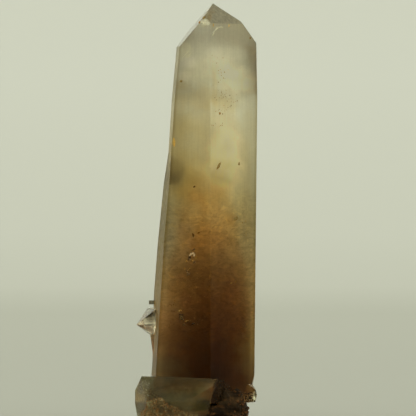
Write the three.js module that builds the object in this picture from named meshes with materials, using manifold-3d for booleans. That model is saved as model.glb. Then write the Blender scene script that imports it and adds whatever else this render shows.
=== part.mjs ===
// A smoky quartz point: one tall prism with a six-faced tip, a small crystal on its left side, a
// stubby crystal lying across the front of its foot, a flake at the right of the foot, and the
// stained rock that they grew on, cut off flat to stand. Crystals that grew together are one solid.
//
// Millimetres, +Z up, the front towards -Y. While it is built, the prism's front edge stands on the
// origin; the finished specimen is then moved so that the origin is at the centre of its foot.

import * as THREE from 'three';
import { ConvexGeometry } from 'three/addons/geometries/ConvexGeometry.js';
import { ImprovedNoise } from 'three/addons/math/ImprovedNoise.js';
import { mergeVertices } from 'three/addons/utils/BufferGeometryUtils.js';
import Module from 'manifold-3d';

const manifold = await Module();
manifold.setup();

// ---------------------------------------------------------------------------------------------
// Driving dimensions

const HEIGHT = 105;                      // foot to apex
const PRISM_FOOT = 5.5;                  // lowest point of the main prism, inside the rock
const PRISM_TOP = 108;                   // the prism before its tip is cut
const HABIT_TURN = 7.9;                  // degrees that the six prism faces are turned by
const TIP_LEAN = 38.2;                   // degrees between a tip face and the upright, as on all quartz

// The breadth of each prism face at a height; the back-left face closes the outline. The crystal
// widens downwards, and its left side pinches in and steps out again below the middle.
const PRISM_STATIONS = [
  { z: PRISM_FOOT, frontLeft: 15.3, left: 8.4, frontRight: 13.9, right: 14.4, backRight: 7.5 },
  { z: 16, frontLeft: 14.4, left: 8.6, frontRight: 13.9, right: 14.2, backRight: 7.5 },
  { z: 21, frontLeft: 14.1, left: 11.0, frontRight: 14.0, right: 14.0, backRight: 7.4 },
  { z: 33, frontLeft: 13.4, left: 12.9, frontRight: 14.1, right: 13.6, backRight: 7.4 },
  { z: 45.5, frontLeft: 12.5, left: 11.9, frontRight: 14.5, right: 13.0, backRight: 7.4 },
  { z: 60, frontLeft: 11.1, left: 10.6, frontRight: 14.7, right: 12.4, backRight: 7.3 },
  { z: 68, frontLeft: 10.5, left: 5.7, frontRight: 14.8, right: 11.9, backRight: 7.3 },
  { z: 81, frontLeft: 9.6, left: 5.7, frontRight: 14.8, right: 11.9, backRight: 7.3 },
  { z: 95, frontLeft: 8.2, left: 5.7, frontRight: 14.5, right: 11.9, backRight: 7.3 },
  { z: PRISM_TOP, frontLeft: 7.0, left: 5.7, frontRight: 14.3, right: 11.9, backRight: 7.3 },
];

// The apex, and how far above it each tip face crosses the upright line through it. The three large
// faces meet there, and the three small ones only cut the corners between them.
const APEX = new THREE.Vector3(0.57, 5.55, HEIGHT);
const TIP_FACES = [
  { face: 'left', above: 0 },
  { face: 'frontRight', above: 0 },
  { face: 'backRight', above: 0 },
  { face: 'frontLeft', above: 1.66 },
  { face: 'right', above: 4.45 },
  { face: 'backLeft', above: 3.0 },
];

// The prism's right heel is broken away where it enters the rock.
const HEEL_POINT = new THREE.Vector3(10.8, 8.6, 11.6);
const HEEL_NORMAL = new THREE.Vector3(0.96, -0.12, -0.25);

// The small crystal on the left side, with the chip above it and the ledge that runs down below it.
const SIDE_CRYSTAL = {
  tip: new THREE.Vector3(-18.5, 11.6, 24.8),
  points: new THREE.Vector3(-0.88, -0.45, -0.13),
  radius: 3.9,
  tipLength: 4.4,
  stem: 3.2,
  roll: 12,
};
const SIDE_CHIP = { centre: new THREE.Vector3(-14.6, 16.2, 30.3), size: new THREE.Vector3(1.7, 1.8, 1.0) };
const SIDE_LEDGE = [
  [-15.3, 14.6, 23.5], [-15.1, 16.0, 23.0], [-12.6, 12.8, 24.0], [-12.8, 15.8, 23.5],
  [-14.95, 15.0, 21.6], [-14.4, 13.2, 17.2], [-13.6, 12.4, 17.6], [-13.4, 13.8, 17.2],
];

// The stubby crystal across the foot: a six-sided prism that lies along X, one flat face up.
const FOOT_CRYSTAL = { y: 2.4, z: 6.15, acrossFlats: 12.5, fromX: -22, toX: 6 };
const FOOT_CRYSTAL_CUTS = [
  { point: [-15.9, -4.2, 5], normal: [-0.89, -0.45, 0] },      // left end face
  { point: [-18.7, 1.6, 5], normal: [-0.93, 0.36, 0] },        // left end, behind
  { point: [-18.6, 1.6, 9], normal: [-0.9, 0, 0.42] },         // its upper corner
  { point: [-18.7, 1.6, 5], normal: [-0.98, 0, -0.18] },       // its lower corner
  { point: [1.6, 0, 11.2], normal: [0.95, -0.05, -0.3] },      // right end face
  { point: [0.6, -2.45, 9.5], normal: [0.485, -0.744, -0.459] }, // small facet at the front right
  { point: [-17.3, -1, 12.3], normal: [0.037, 0, 1] },         // the top falls a little to the right
];

// The flake at the right of the foot.
const FLAKE = [
  [9.2, 7.0, 10.2], [10.4, 8.2, 10.0], [9.0, 11.6, 9.6], [11.3, 7.9, 8.6], [11.6, 8.6, 7.3],
  [11.2, 8.2, 5.6], [10.6, 12.4, 6.4], [8.6, 6.8, 6.2], [8.0, 10.0, 5.2], [10.6, 11.6, 8.8],
];

// The rock: a rounded block, rough on every scale, whose lower half is cut away.
const ROCK = {
  centre: new THREE.Vector3(-3.4, 13.4, 0),
  halfSize: new THREE.Vector3(12.5, 12.8, 11.4),
  squareness: 4,
  divisions: 16,
};
const ROCK_ROUGHNESS = [
  { perMm: 0.11, depth: 0.1 },
  { perMm: 0.27, depth: 0.07 },
  { perMm: 0.6, depth: 0.035 },
];
const ROCK_GAP = 0.3;                    // clear space between the rock and the crystals

const CUTTER = 200;                      // side of the blocks that make the flat cuts

// ---------------------------------------------------------------------------------------------
// Solids

/** A closed geometry as a solid that can be joined and cut. */
function solidOf(geometry) {
  const bare = geometry.clone();
  bare.deleteAttribute('normal');
  bare.deleteAttribute('uv');
  const merged = mergeVertices(bare);
  const corners = merged.index.array;
  const triangles = [];
  for (let i = 0; i < corners.length; i += 3) {
    const [a, b, c] = corners.slice(i, i + 3);
    if (a !== b && b !== c && c !== a) triangles.push(a, b, c);
  }
  return new manifold.Manifold(new manifold.Mesh({
    numProp: 3,
    vertProperties: new Float32Array(merged.attributes.position.array),
    triVerts: new Uint32Array(triangles),
  }));
}

/** A solid as a geometry with one normal for each face. */
function geometryOf(solid) {
  const { vertProperties, triVerts } = solid.getMesh();
  const geometry = new THREE.BufferGeometry();
  geometry.setAttribute('position', new THREE.BufferAttribute(new Float32Array(vertProperties), 3));
  geometry.setIndex(new THREE.BufferAttribute(new Uint32Array(triVerts), 1));
  const faceted = geometry.toNonIndexed();
  faceted.computeVertexNormals();
  return faceted;
}

/** Takes away all of a solid on the side of a plane that its normal points to. */
function cutFlat(solid, point, normal) {
  const block = new THREE.BoxGeometry(CUTTER, CUTTER, CUTTER);
  block.translate(0, 0, CUTTER / 2);
  const up = new THREE.Vector3(0, 0, 1);
  block.applyQuaternion(new THREE.Quaternion().setFromUnitVectors(up, normal.clone().normalize()));
  block.translate(point.x, point.y, point.z);
  return solid.subtract(solidOf(block));
}

/** Joins outlines of equally many corners, listed upwards, into one closed geometry. */
function loft(outlines) {
  const count = outlines[0].length;
  const positions = outlines.flat().flatMap((corner) => corner.toArray());
  const index = [];
  for (let ring = 0; ring + 1 < outlines.length; ring += 1) {
    for (let i = 0; i < count; i += 1) {
      const a = ring * count + i;
      const b = ring * count + ((i + 1) % count);
      index.push(a, b, b + count, a, b + count, a + count);
    }
  }
  const top = (outlines.length - 1) * count;
  for (let i = 1; i + 1 < count; i += 1) {
    index.push(0, i + 1, i, top, top + i, top + i + 1);
  }
  const geometry = new THREE.BufferGeometry();
  geometry.setAttribute('position', new THREE.Float32BufferAttribute(positions, 3));
  geometry.setIndex(index);
  return geometry;
}

/** The convex solid that wraps a few corner points. */
function wrap(points) {
  return solidOf(new ConvexGeometry(points.map((point) => new THREE.Vector3(...point))));
}

// ---------------------------------------------------------------------------------------------
// The main crystal

/** The outward direction of a prism face, by its place round the crystal. */
function faceNormal(face) {
  const order = ['right', 'backRight', 'backLeft', 'left', 'frontLeft', 'frontRight'];
  const angle = THREE.MathUtils.degToRad(HABIT_TURN + 60 * order.indexOf(face));
  return new THREE.Vector3(Math.cos(angle), Math.sin(angle), 0);
}

/** The direction along a prism face in plan, anticlockwise seen from above. */
function faceRun(face) {
  const normal = faceNormal(face);
  return new THREE.Vector3(-normal.y, normal.x, 0);
}

/** The prism's outline at one station, from the front edge anticlockwise. */
function prismOutline({ z, frontLeft, left, frontRight, right, backRight }) {
  const front = new THREE.Vector3(0, 0, z);
  const rightFront = front.clone().addScaledVector(faceRun('frontRight'), frontRight);
  const rightBack = rightFront.clone().addScaledVector(faceRun('right'), right);
  const back = rightBack.clone().addScaledVector(faceRun('backRight'), backRight);
  const leftFront = front.clone().addScaledVector(faceRun('frontLeft'), -frontLeft);
  const leftBack = leftFront.clone().addScaledVector(faceRun('left'), -left);
  return [front, rightFront, rightBack, back, leftBack, leftFront];
}

/** The main crystal: the prism, cut by the six faces of its tip and broken at its right heel. */
function mainCrystal() {
  let solid = solidOf(loft(PRISM_STATIONS.map(prismOutline)));
  const lean = THREE.MathUtils.degToRad(TIP_LEAN);
  for (const { face, above } of TIP_FACES) {
    const normal = faceNormal(face).multiplyScalar(Math.cos(lean));
    normal.z = Math.sin(lean);
    solid = cutFlat(solid, APEX.clone().setZ(HEIGHT + above), normal);
  }
  return cutFlat(solid, HEEL_POINT, HEEL_NORMAL);
}

// ---------------------------------------------------------------------------------------------
// The crystals that grew together with it

/** The small crystal on the left side: a six-sided stem and point, its chip and its ledge. */
function sideCrystal() {
  const { tip, points, radius, tipLength, stem, roll } = SIDE_CRYSTAL;
  const profile = [[0, 0], [radius, 0], [radius, stem], [0, stem + tipLength]];
  const crystal = new THREE.LatheGeometry(profile.map(([r, y]) => new THREE.Vector2(r, y)), 6);
  crystal.translate(0, -stem - tipLength, 0);
  crystal.rotateY(THREE.MathUtils.degToRad(roll));
  const along = points.clone().normalize();
  crystal.applyQuaternion(new THREE.Quaternion().setFromUnitVectors(new THREE.Vector3(0, 1, 0), along));
  crystal.translate(tip.x, tip.y, tip.z);

  const chip = new THREE.BoxGeometry(...SIDE_CHIP.size.toArray());
  chip.translate(...SIDE_CHIP.centre.toArray());
  return solidOf(crystal).add(solidOf(chip)).add(wrap(SIDE_LEDGE));
}

/** The stubby crystal that lies across the front of the foot. */
function footCrystal() {
  const { y, z, acrossFlats, fromX, toX } = FOOT_CRYSTAL;
  const length = toX - fromX;
  const radius = acrossFlats / 2 / Math.cos(Math.PI / 6);
  const prism = new THREE.CylinderGeometry(radius, radius, length, 6);
  prism.rotateZ(Math.PI / 2);
  prism.rotateX(Math.PI / 2);
  prism.translate(fromX + length / 2, y, z);
  let solid = solidOf(prism);
  for (const { point, normal } of FOOT_CRYSTAL_CUTS) {
    solid = cutFlat(solid, new THREE.Vector3(...point), new THREE.Vector3(...normal));
  }
  return solid;
}

/** All the crystals as one solid, standing on the flat cut. */
function quartz() {
  const grown = mainCrystal().add(sideCrystal()).add(footCrystal()).add(wrap(FLAKE));
  return cutFlat(grown, new THREE.Vector3(0, 0, 0), new THREE.Vector3(0, 0, -1));
}

// ---------------------------------------------------------------------------------------------
// The rock

/** How far the rock stands out at a point, as a share of its size: the sum of noise at each scale. */
function rockRelief(noise, point) {
  return ROCK_ROUGHNESS.reduce((sum, { perMm, depth }) => {
    const scaled = point.clone().multiplyScalar(perMm);
    return sum + depth * noise.noise(scaled.x, scaled.y, scaled.z);
  }, 1);
}

/** The rough block before anything is cut from it. */
function rockBlock() {
  const { centre, halfSize, squareness, divisions } = ROCK;
  const block = new THREE.BoxGeometry(2, 2, 2, divisions, divisions, divisions);
  const noise = new ImprovedNoise();
  const corners = block.attributes.position;
  const point = new THREE.Vector3();
  for (let i = 0; i < corners.count; i += 1) {
    point.fromBufferAttribute(corners, i);
    const powers = point.toArray().map((value) => Math.abs(value) ** squareness);
    point.divideScalar(powers.reduce((a, b) => a + b) ** (1 / squareness)).multiply(halfSize);
    point.multiplyScalar(rockRelief(noise, point)).add(centre);
    corners.setXYZ(i, point.x, point.y, point.z);
  }
  return solidOf(block);
}

/** A solid thickened on every side, to cut its own seat with clearance. */
function thickened(solid, by) {
  const geometry = geometryOf(solid);
  let thick = solid;
  for (const x of [-by, by]) {
    for (const y of [-by, by]) {
      for (const z of [-by, by]) thick = thick.add(solidOf(geometry.clone().translate(x, y, z)));
    }
  }
  return thick;
}

/** The rock with the crystals' seat in it, standing on the flat cut. */
function matrix(crystals) {
  const seated = rockBlock().subtract(thickened(crystals, ROCK_GAP));
  return cutFlat(seated, new THREE.Vector3(0, 0, 0), new THREE.Vector3(0, 0, -1));
}

// ---------------------------------------------------------------------------------------------
// The specimen

const smoky = new THREE.MeshStandardMaterial({
  color: 0x7a5a30, roughness: 0.08, metalness: 0, transparent: true, opacity: 0.6,
});
const ironStained = new THREE.MeshStandardMaterial({ color: 0x4a3420, roughness: 0.9, metalness: 0 });

const crystals = quartz();
const quartzMesh = new THREE.Mesh(geometryOf(crystals), smoky);
quartzMesh.name = 'quartz';
const matrixMesh = new THREE.Mesh(geometryOf(matrix(crystals)), ironStained);
matrixMesh.name = 'matrix';

const specimen = new THREE.Group();
specimen.add(quartzMesh, matrixMesh);
const foot = new THREE.Box3().setFromObject(specimen).getCenter(new THREE.Vector3()).setZ(0);
specimen.position.sub(foot);

export default specimen;
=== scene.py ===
"""Finish of a smoky quartz point: colour zones, veils, inclusions, crusts, rock and studio.

Sizes are millimetres in the crystal's own frame: x runs to the right and y to the back from the
prism's front edge, and z is the height above the flat foot. The frame's mesh says where that is.
"""

from __future__ import annotations

import logging
import math
from collections.abc import Sequence
from dataclasses import dataclass
from enum import Enum

import bmesh
import bpy
from mathutils import Euler, Matrix, Vector, noise
from mathutils.bvhtree import BVHTree

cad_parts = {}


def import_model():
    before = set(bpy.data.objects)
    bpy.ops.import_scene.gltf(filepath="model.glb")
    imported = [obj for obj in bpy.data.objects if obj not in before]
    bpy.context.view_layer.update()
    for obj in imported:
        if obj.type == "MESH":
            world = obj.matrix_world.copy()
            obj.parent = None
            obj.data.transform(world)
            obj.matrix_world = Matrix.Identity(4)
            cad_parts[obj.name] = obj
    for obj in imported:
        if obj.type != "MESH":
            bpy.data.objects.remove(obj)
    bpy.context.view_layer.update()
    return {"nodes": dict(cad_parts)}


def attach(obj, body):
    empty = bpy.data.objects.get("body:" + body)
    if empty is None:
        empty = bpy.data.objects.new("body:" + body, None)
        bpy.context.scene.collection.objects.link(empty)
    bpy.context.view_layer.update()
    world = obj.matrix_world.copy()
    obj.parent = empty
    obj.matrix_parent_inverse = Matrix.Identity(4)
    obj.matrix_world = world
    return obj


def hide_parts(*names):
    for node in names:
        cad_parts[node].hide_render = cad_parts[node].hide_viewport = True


LOG = logging.getLogger("smoky_quartz")
MM = 0.001
BODY = "root"

Colour = tuple[float, float, float]
Place = tuple[float, float, float]
Socket = bpy.types.NodeSocket
Feed = bpy.types.NodeSocket | float | str | Sequence[float]

UNTINTED: Colour = (1.0, 1.0, 1.0)


class Slot(str, Enum):
    """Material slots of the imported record."""

    QUARTZ = "quartz"
    MATRIX = "matrix"


def opaque(colour: Colour) -> tuple[float, float, float, float]:
    """Return a colour with full alpha, as Blender's sockets take it."""
    return (*colour, 1.0)


def transmitted(depth: Colour) -> Colour:
    """Return the colour that is left after an optical depth in red, green and blue."""
    return tuple(math.exp(-each) for each in depth)


# ---------------------------------------------------------------------------------------------
# Node trees
# ---------------------------------------------------------------------------------------------


@dataclass(frozen=True)
class Grain:
    """A noise: the size of its lumps in millimetres, its finer octaves, their strength and its warp.

    Stretch multiplies the place on each axis. The band is the part of the noise's range that runs
    between the two tones.
    """

    size: float
    detail: float = 3.0
    rough: float = 0.5
    warp: float = 0.0
    stretch: Place | None = None
    band: tuple[float, float] = (0.0, 1.0)
    tones: tuple[float, float] = (0.0, 1.0)


class Wiring:
    """A node tree with short calls that add nodes and join their sockets."""

    def __init__(self, tree: bpy.types.NodeTree) -> None:
        """Keep the tree that the calls work on."""
        self.tree = tree

    def add(self, kind: str, **settings: object) -> bpy.types.Node:
        """Add a node and set its own options.

        Args:
            kind: The node's type name.
            **settings: Options of the node by name.

        Returns:
            The new node.
        """
        node = self.tree.nodes.new(kind)
        for name, value in settings.items():
            setattr(node, name, value)
        return node

    def feed(self, node: bpy.types.Node, **values: Feed) -> bpy.types.Node:
        """Set or link a node's inputs by name, with _ for a space.

        Args:
            node: The node whose inputs are set.
            **values: A plain value, or a socket that is linked to the input.

        Returns:
            The same node.
        """
        for name, value in values.items():
            self.join(node.inputs[name.replace("_", " ")], value)
        return node

    def join(self, socket: Socket, value: Feed) -> None:
        """Link a socket to another one, or give it a plain value.

        Args:
            socket: The input socket.
            value: The output socket that it is linked to, or its plain value.
        """
        if isinstance(value, bpy.types.NodeSocket):
            self.tree.links.new(value, socket)
        else:
            socket.default_value = value

    def join_all(self, node: bpy.types.Node, *values: Feed) -> Socket:
        """Set or link a node's first inputs in order.

        Args:
            node: The node whose inputs are set.
            *values: A plain value or a socket for each input.

        Returns:
            The node's first output.
        """
        for socket, value in zip(node.inputs, values):
            self.join(socket, value)
        return node.outputs[0]

    def math(self, operation: str, first: Feed, second: Feed = 0.0, third: Feed = 0.0) -> Socket:
        """Return a math node's output for up to three values or sockets."""
        return self.join_all(self.add("ShaderNodeMath", operation=operation), first, second, third)

    def vector_math(self, operation: str, first: Feed, second: Feed) -> Socket:
        """Return a vector math node's output for two vectors or sockets."""
        return self.join_all(self.add("ShaderNodeVectorMath", operation=operation), first, second)

    def measure(self, operation: str, *vectors: Feed) -> Socket:
        """Add a vector math node that gives a plain number.

        Args:
            operation: Name of the operation, such as LENGTH.
            *vectors: Vector or socket for each input.

        Returns:
            The node's value output.
        """
        node = self.add("ShaderNodeVectorMath", operation=operation)
        self.join_all(node, *vectors)
        return node.outputs["Value"]

    def span(self, value: Feed, low: Feed, high: Feed, to_low: float = 0.0, to_high: float = 1.0) -> Socket:
        """Return a value whose range from low to high is mapped to another one, with eased ends."""
        node = self.add("ShaderNodeMapRange", interpolation_type="SMOOTHSTEP")
        return self.join_all(node, value, low, high, to_low, to_high)

    def ramp(self, value: Feed, stops: Sequence[tuple[float, Colour]]) -> Socket:
        """Turn a value from 0 to 1 into a colour.

        Args:
            value: Socket that is read.
            stops: Places and colours along the ramp.

        Returns:
            The colour socket.
        """
        node = self.add("ShaderNodeValToRGB")
        elements = node.color_ramp.elements
        while len(elements) < len(stops):
            elements.new(1.0)
        for element, (place, colour) in zip(elements, stops):
            element.position = place
            element.color = opaque(colour)
        return self.join_all(node, value)

    def blend(self, share: Feed, first: Feed, second: Feed) -> Socket:
        """Mix two colours.

        Args:
            share: Share of the second colour.
            first: First colour or socket.
            second: Second colour or socket.

        Returns:
            The colour socket.
        """
        node = self.add("ShaderNodeMix", data_type="RGBA")
        colours = [socket for socket in node.inputs if socket.type == "RGBA"]
        self.join(node.inputs[0], share)
        self.join(colours[0], first)
        self.join(colours[1], second)
        return next(socket for socket in node.outputs if socket.type == "RGBA")

    def scaled(self, colour: Feed, factor: Feed) -> Socket:
        """Multiply a colour or vector by one factor, which may be above 1.

        Args:
            colour: The colour or vector, or its socket.
            factor: The factor or its socket.

        Returns:
            The node's vector output.
        """
        node = self.add("ShaderNodeVectorMath", operation="SCALE")
        self.join(node.inputs[0], colour)
        self.join(node.inputs["Scale"], factor)
        return node.outputs[0]

    def noise(self, where: Feed, grain: Grain) -> bpy.types.Node:
        """Add a noise texture.

        Args:
            where: Socket with the place in metres.
            grain: The noise's size, octaves and warp.

        Returns:
            The noise node, whose first output is about 0.5 on average.
        """
        node = self.add("ShaderNodeTexNoise")
        return self.feed(node, Vector=where, Scale=1.0 / (grain.size * MM), Detail=grain.detail,
                         Roughness=grain.rough, Distortion=grain.warp)

    def attribute(self, name: str) -> Socket:
        """Return a mesh attribute's value."""
        return self.add("ShaderNodeAttribute", attribute_name=name).outputs["Fac"]


@dataclass(frozen=True)
class Blot:
    """A soft-edged region of the skin that is lighter, darker or of another hue.

    It lies round x, y and z, and its half sizes are across, deep and tall.
    """

    x: float
    z: float
    across: float
    tall: float
    gain: Colour
    y: float = 2.0
    deep: float = 14.0

    @property
    def centre(self) -> Vector:
        """Return its centre in crystal millimetres."""
        return Vector((self.x, self.y, self.z))

    @property
    def radii(self) -> Place:
        """Return its half sizes in millimetres."""
        return (self.across, self.deep, self.tall)


class Dye(Wiring):
    """The node tree of one material, with its Principled shader and its object coordinates."""

    STRAY = Grain(4.5, 4.0, 0.6)
    BLOT_EDGE = (0.3, 1.05)

    def __init__(self, name: str) -> None:
        """Make an empty material.

        Args:
            name: The material's name.
        """
        self.material = bpy.data.materials.new(name)
        self.material.use_nodes = True
        super().__init__(self.material.node_tree)
        self.shader = self.tree.nodes["Principled BSDF"]
        self.output = self.tree.nodes["Material Output"]
        self.where = self.add("ShaderNodeTexCoord").outputs["Object"]

    def shade(self, **values: Feed) -> None:
        """Set or link inputs of the Principled shader by name, with _ for a space."""
        self.feed(self.shader, **values)

    def stretched(self, scale: Place) -> Socket:
        """Return the object coordinates multiplied by a factor for each axis."""
        return self.feed(self.add("ShaderNodeMapping"), Vector=self.where, Scale=scale).outputs[0]

    def axis(self, letter: str) -> Socket:
        """Return one object coordinate in metres."""
        return self.feed(self.add("ShaderNodeSeparateXYZ"), Vector=self.where).outputs[letter]

    def grain(self, grain: Grain) -> Socket:
        """Return a noise over the object coordinates."""
        where = self.stretched(grain.stretch) if grain.stretch else self.where
        return self.noise(where, grain).outputs[0]

    def toned(self, grain: Grain) -> Socket:
        """Return a noise over the object coordinates, mapped to its own tones."""
        return self.span(self.grain(grain), *grain.band, *grain.tones)

    def bump(self, height: Feed, depth: float, strength: float = 1.0) -> Socket:
        """Return a normal with a relief of that depth in millimetres."""
        node = self.add("ShaderNodeBump")
        return self.feed(node, Height=height, Distance=depth * MM, Strength=strength).outputs[0]

    def blotted(self, tint: Socket, blots: Sequence[Blot], origin: Vector, wander: float) -> Socket:
        """Lay soft regions over a colour.

        Args:
            tint: The colour socket.
            blots: The regions, in crystal millimetres.
            origin: Where the crystal's frame starts, in metres.
            wander: How far their edges stray, in millimetres.

        Returns:
            The changed colour socket.
        """
        stray = self.noise(self.where, self.STRAY).outputs["Color"]
        shift = self.scaled(self.vector_math("SUBTRACT", stray, (0.5, 0.5, 0.5)), wander * MM)
        place = self.vector_math("ADD", self.where, shift)
        for blot in blots:
            offset = self.vector_math("SUBTRACT", place, tuple(origin + blot.centre * MM))
            radii = tuple(radius * MM for radius in blot.radii)
            reach = self.measure("LENGTH", self.vector_math("DIVIDE", offset, radii))
            cover = self.span(reach, *self.BLOT_EDGE, 1.0, 0.0)
            change = tuple(gain - 1.0 for gain in blot.gain)
            factor = self.vector_math("ADD", UNTINTED, self.scaled(change, cover))
            tint = self.vector_math("MULTIPLY", tint, factor)
        return tint

    def mixed(self, share: Feed, first: Socket, second: Socket) -> Socket:
        """Mix two shaders by the share of the second one."""
        return self.join_all(self.add("ShaderNodeMixShader"), share, first, second)

    def let_through(self, colour: Socket, share: float) -> None:
        """Let a part of the light shine through the surface.

        Args:
            colour: The light's colour.
            share: Share of the light.
        """
        if share:
            through = self.feed(self.add("ShaderNodeBsdfTranslucent"), Color=colour)
            body = self.mixed(share, self.shader.outputs[0], through.outputs[0])
            self.join(self.output.inputs["Surface"], body)

    def absorb(self, colour: Colour, density: float) -> None:
        """Fill the piece with plain absorption.

        Args:
            colour: The colour that is left over a long way.
            density: Its density per metre.
        """
        node = self.add("ShaderNodeVolumeAbsorption")
        self.feed(node, Color=opaque(colour), Density=density)
        self.join(self.output.inputs["Volume"], node.outputs[0])


# ---------------------------------------------------------------------------------------------
# Finishes
# ---------------------------------------------------------------------------------------------


@dataclass(frozen=True)
class PrismSides:
    """How the prism's skin turns darker above and lighter below towards its two sides.

    Width and middle are half the prism's width and its centre line in millimetres at the widest
    height, each with its change for a millimetre further down. High and low give a range of the
    share from the middle to the side, and the factors at its ends.
    """

    widest: float = 80.0
    width: tuple[float, float] = (10.28, 0.031)
    middle: tuple[float, float] = (1.35, -0.0405)
    high: tuple[float, float, float, float] = (0.4, 0.98, 1.0, 0.7)
    low: tuple[float, float, float, float] = (0.3, 0.95, 1.0, 1.6)
    change: tuple[float, float] = (32.0, 46.0)
    # The rim is painted shade: the skin turns darker towards the rim tone along the prism's two outlines.
    rim: tuple[float, float] = (0.92, 1.0)
    rim_tone: Colour = (0.6, 0.52, 0.34)

    def factor(self, dye: Dye, origin: Vector) -> Socket:
        """Find the colour that the skin is multiplied by.

        Args:
            dye: The crystal's material.
            origin: Where the crystal's frame starts, in metres.

        Returns:
            The colour's socket.
        """
        height = dye.axis("Z")
        below = dye.math("DIVIDE", dye.math("SUBTRACT", self.widest * MM, height), MM)
        across = dye.math("DIVIDE", dye.math("SUBTRACT", dye.axis("X"), origin.x), MM)
        middle = dye.math("MULTIPLY_ADD", below, self.middle[1], self.middle[0])
        half = dye.math("MULTIPLY_ADD", below, self.width[1], self.width[0])
        away = dye.math("DIVIDE", dye.math("ABSOLUTE", dye.math("SUBTRACT", across, middle)), half)
        share = dye.span(height, *(each * MM for each in self.change))
        high = dye.math("MULTIPLY", dye.span(away, *self.high), share)
        low = dye.math("MULTIPLY", dye.span(away, *self.low), dye.math("SUBTRACT", 1.0, share))
        # Painted shade along the prism's two outlines.
        rim = dye.blend(dye.span(away, *self.rim), opaque(UNTINTED), opaque(self.rim_tone))
        return dye.scaled(rim, dye.math("ADD", high, low))


@dataclass(frozen=True)
class Ripples:
    """Amber ripples, brown mottles and soft curls over the prism's middle and foot."""

    start: tuple[float, float] = (16.0, 26.0)
    end: tuple[float, float] = (48.0, 62.0)
    coarse: Grain = Grain(1.1, 5.0, 0.7, 1.2, (0.45, 0.45, 1.0))
    fine: Grain = Grain(0.5, 3.0, 0.6, 0.8, (0.5, 0.5, 1.0), (0.3, 0.7), (0.95, 1.04))
    fine_share: float = 0.5
    light_band: tuple[float, float] = (0.52, 0.72)
    dark_band: tuple[float, float] = (0.48, 0.3)
    amber: Colour = (0.5, 0.42, 0.2)
    brown: Colour = (0.32, 0.36, 0.4)
    curls: Grain = Grain(2.3, 2.0, 0.5, 2.2, (0.6, 0.6, 1.0), (0.38, 0.62), (-0.17, 0.17))

    def lay(self, dye: Dye, tint: Socket) -> Socket:
        """Lay the ripples over a colour.

        Args:
            dye: The crystal's material.
            tint: The colour's socket.

        Returns:
            The changed colour's socket.
        """
        height = dye.axis("Z")
        share = dye.math("MULTIPLY", dye.span(height, *(each * MM for each in self.start)),
                         dye.span(height, *(each * MM for each in self.end), 1.0, 0.0))
        fine = dye.grain(self.fine)
        ripple = dye.math("MULTIPLY_ADD", dye.math("SUBTRACT", fine, 0.5), self.fine_share,
                          dye.grain(self.coarse))
        light = dye.math("MULTIPLY", dye.span(ripple, *self.light_band), share)
        dark = dye.math("MULTIPLY", dye.span(ripple, *self.dark_band), share)
        gain = dye.vector_math("ADD", UNTINTED, dye.scaled(self.amber, light))
        loss = dye.vector_math("SUBTRACT", UNTINTED, dye.scaled(self.brown, dark))
        tint = dye.vector_math("MULTIPLY", tint, gain)
        tint = dye.vector_math("MULTIPLY", tint, loss)
        tint = dye.scaled(tint, dye.math("MULTIPLY_ADD", dye.toned(self.curls), share, 1.0))
        return dye.scaled(tint, dye.span(fine, *self.fine.band, *self.fine.tones))


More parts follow.
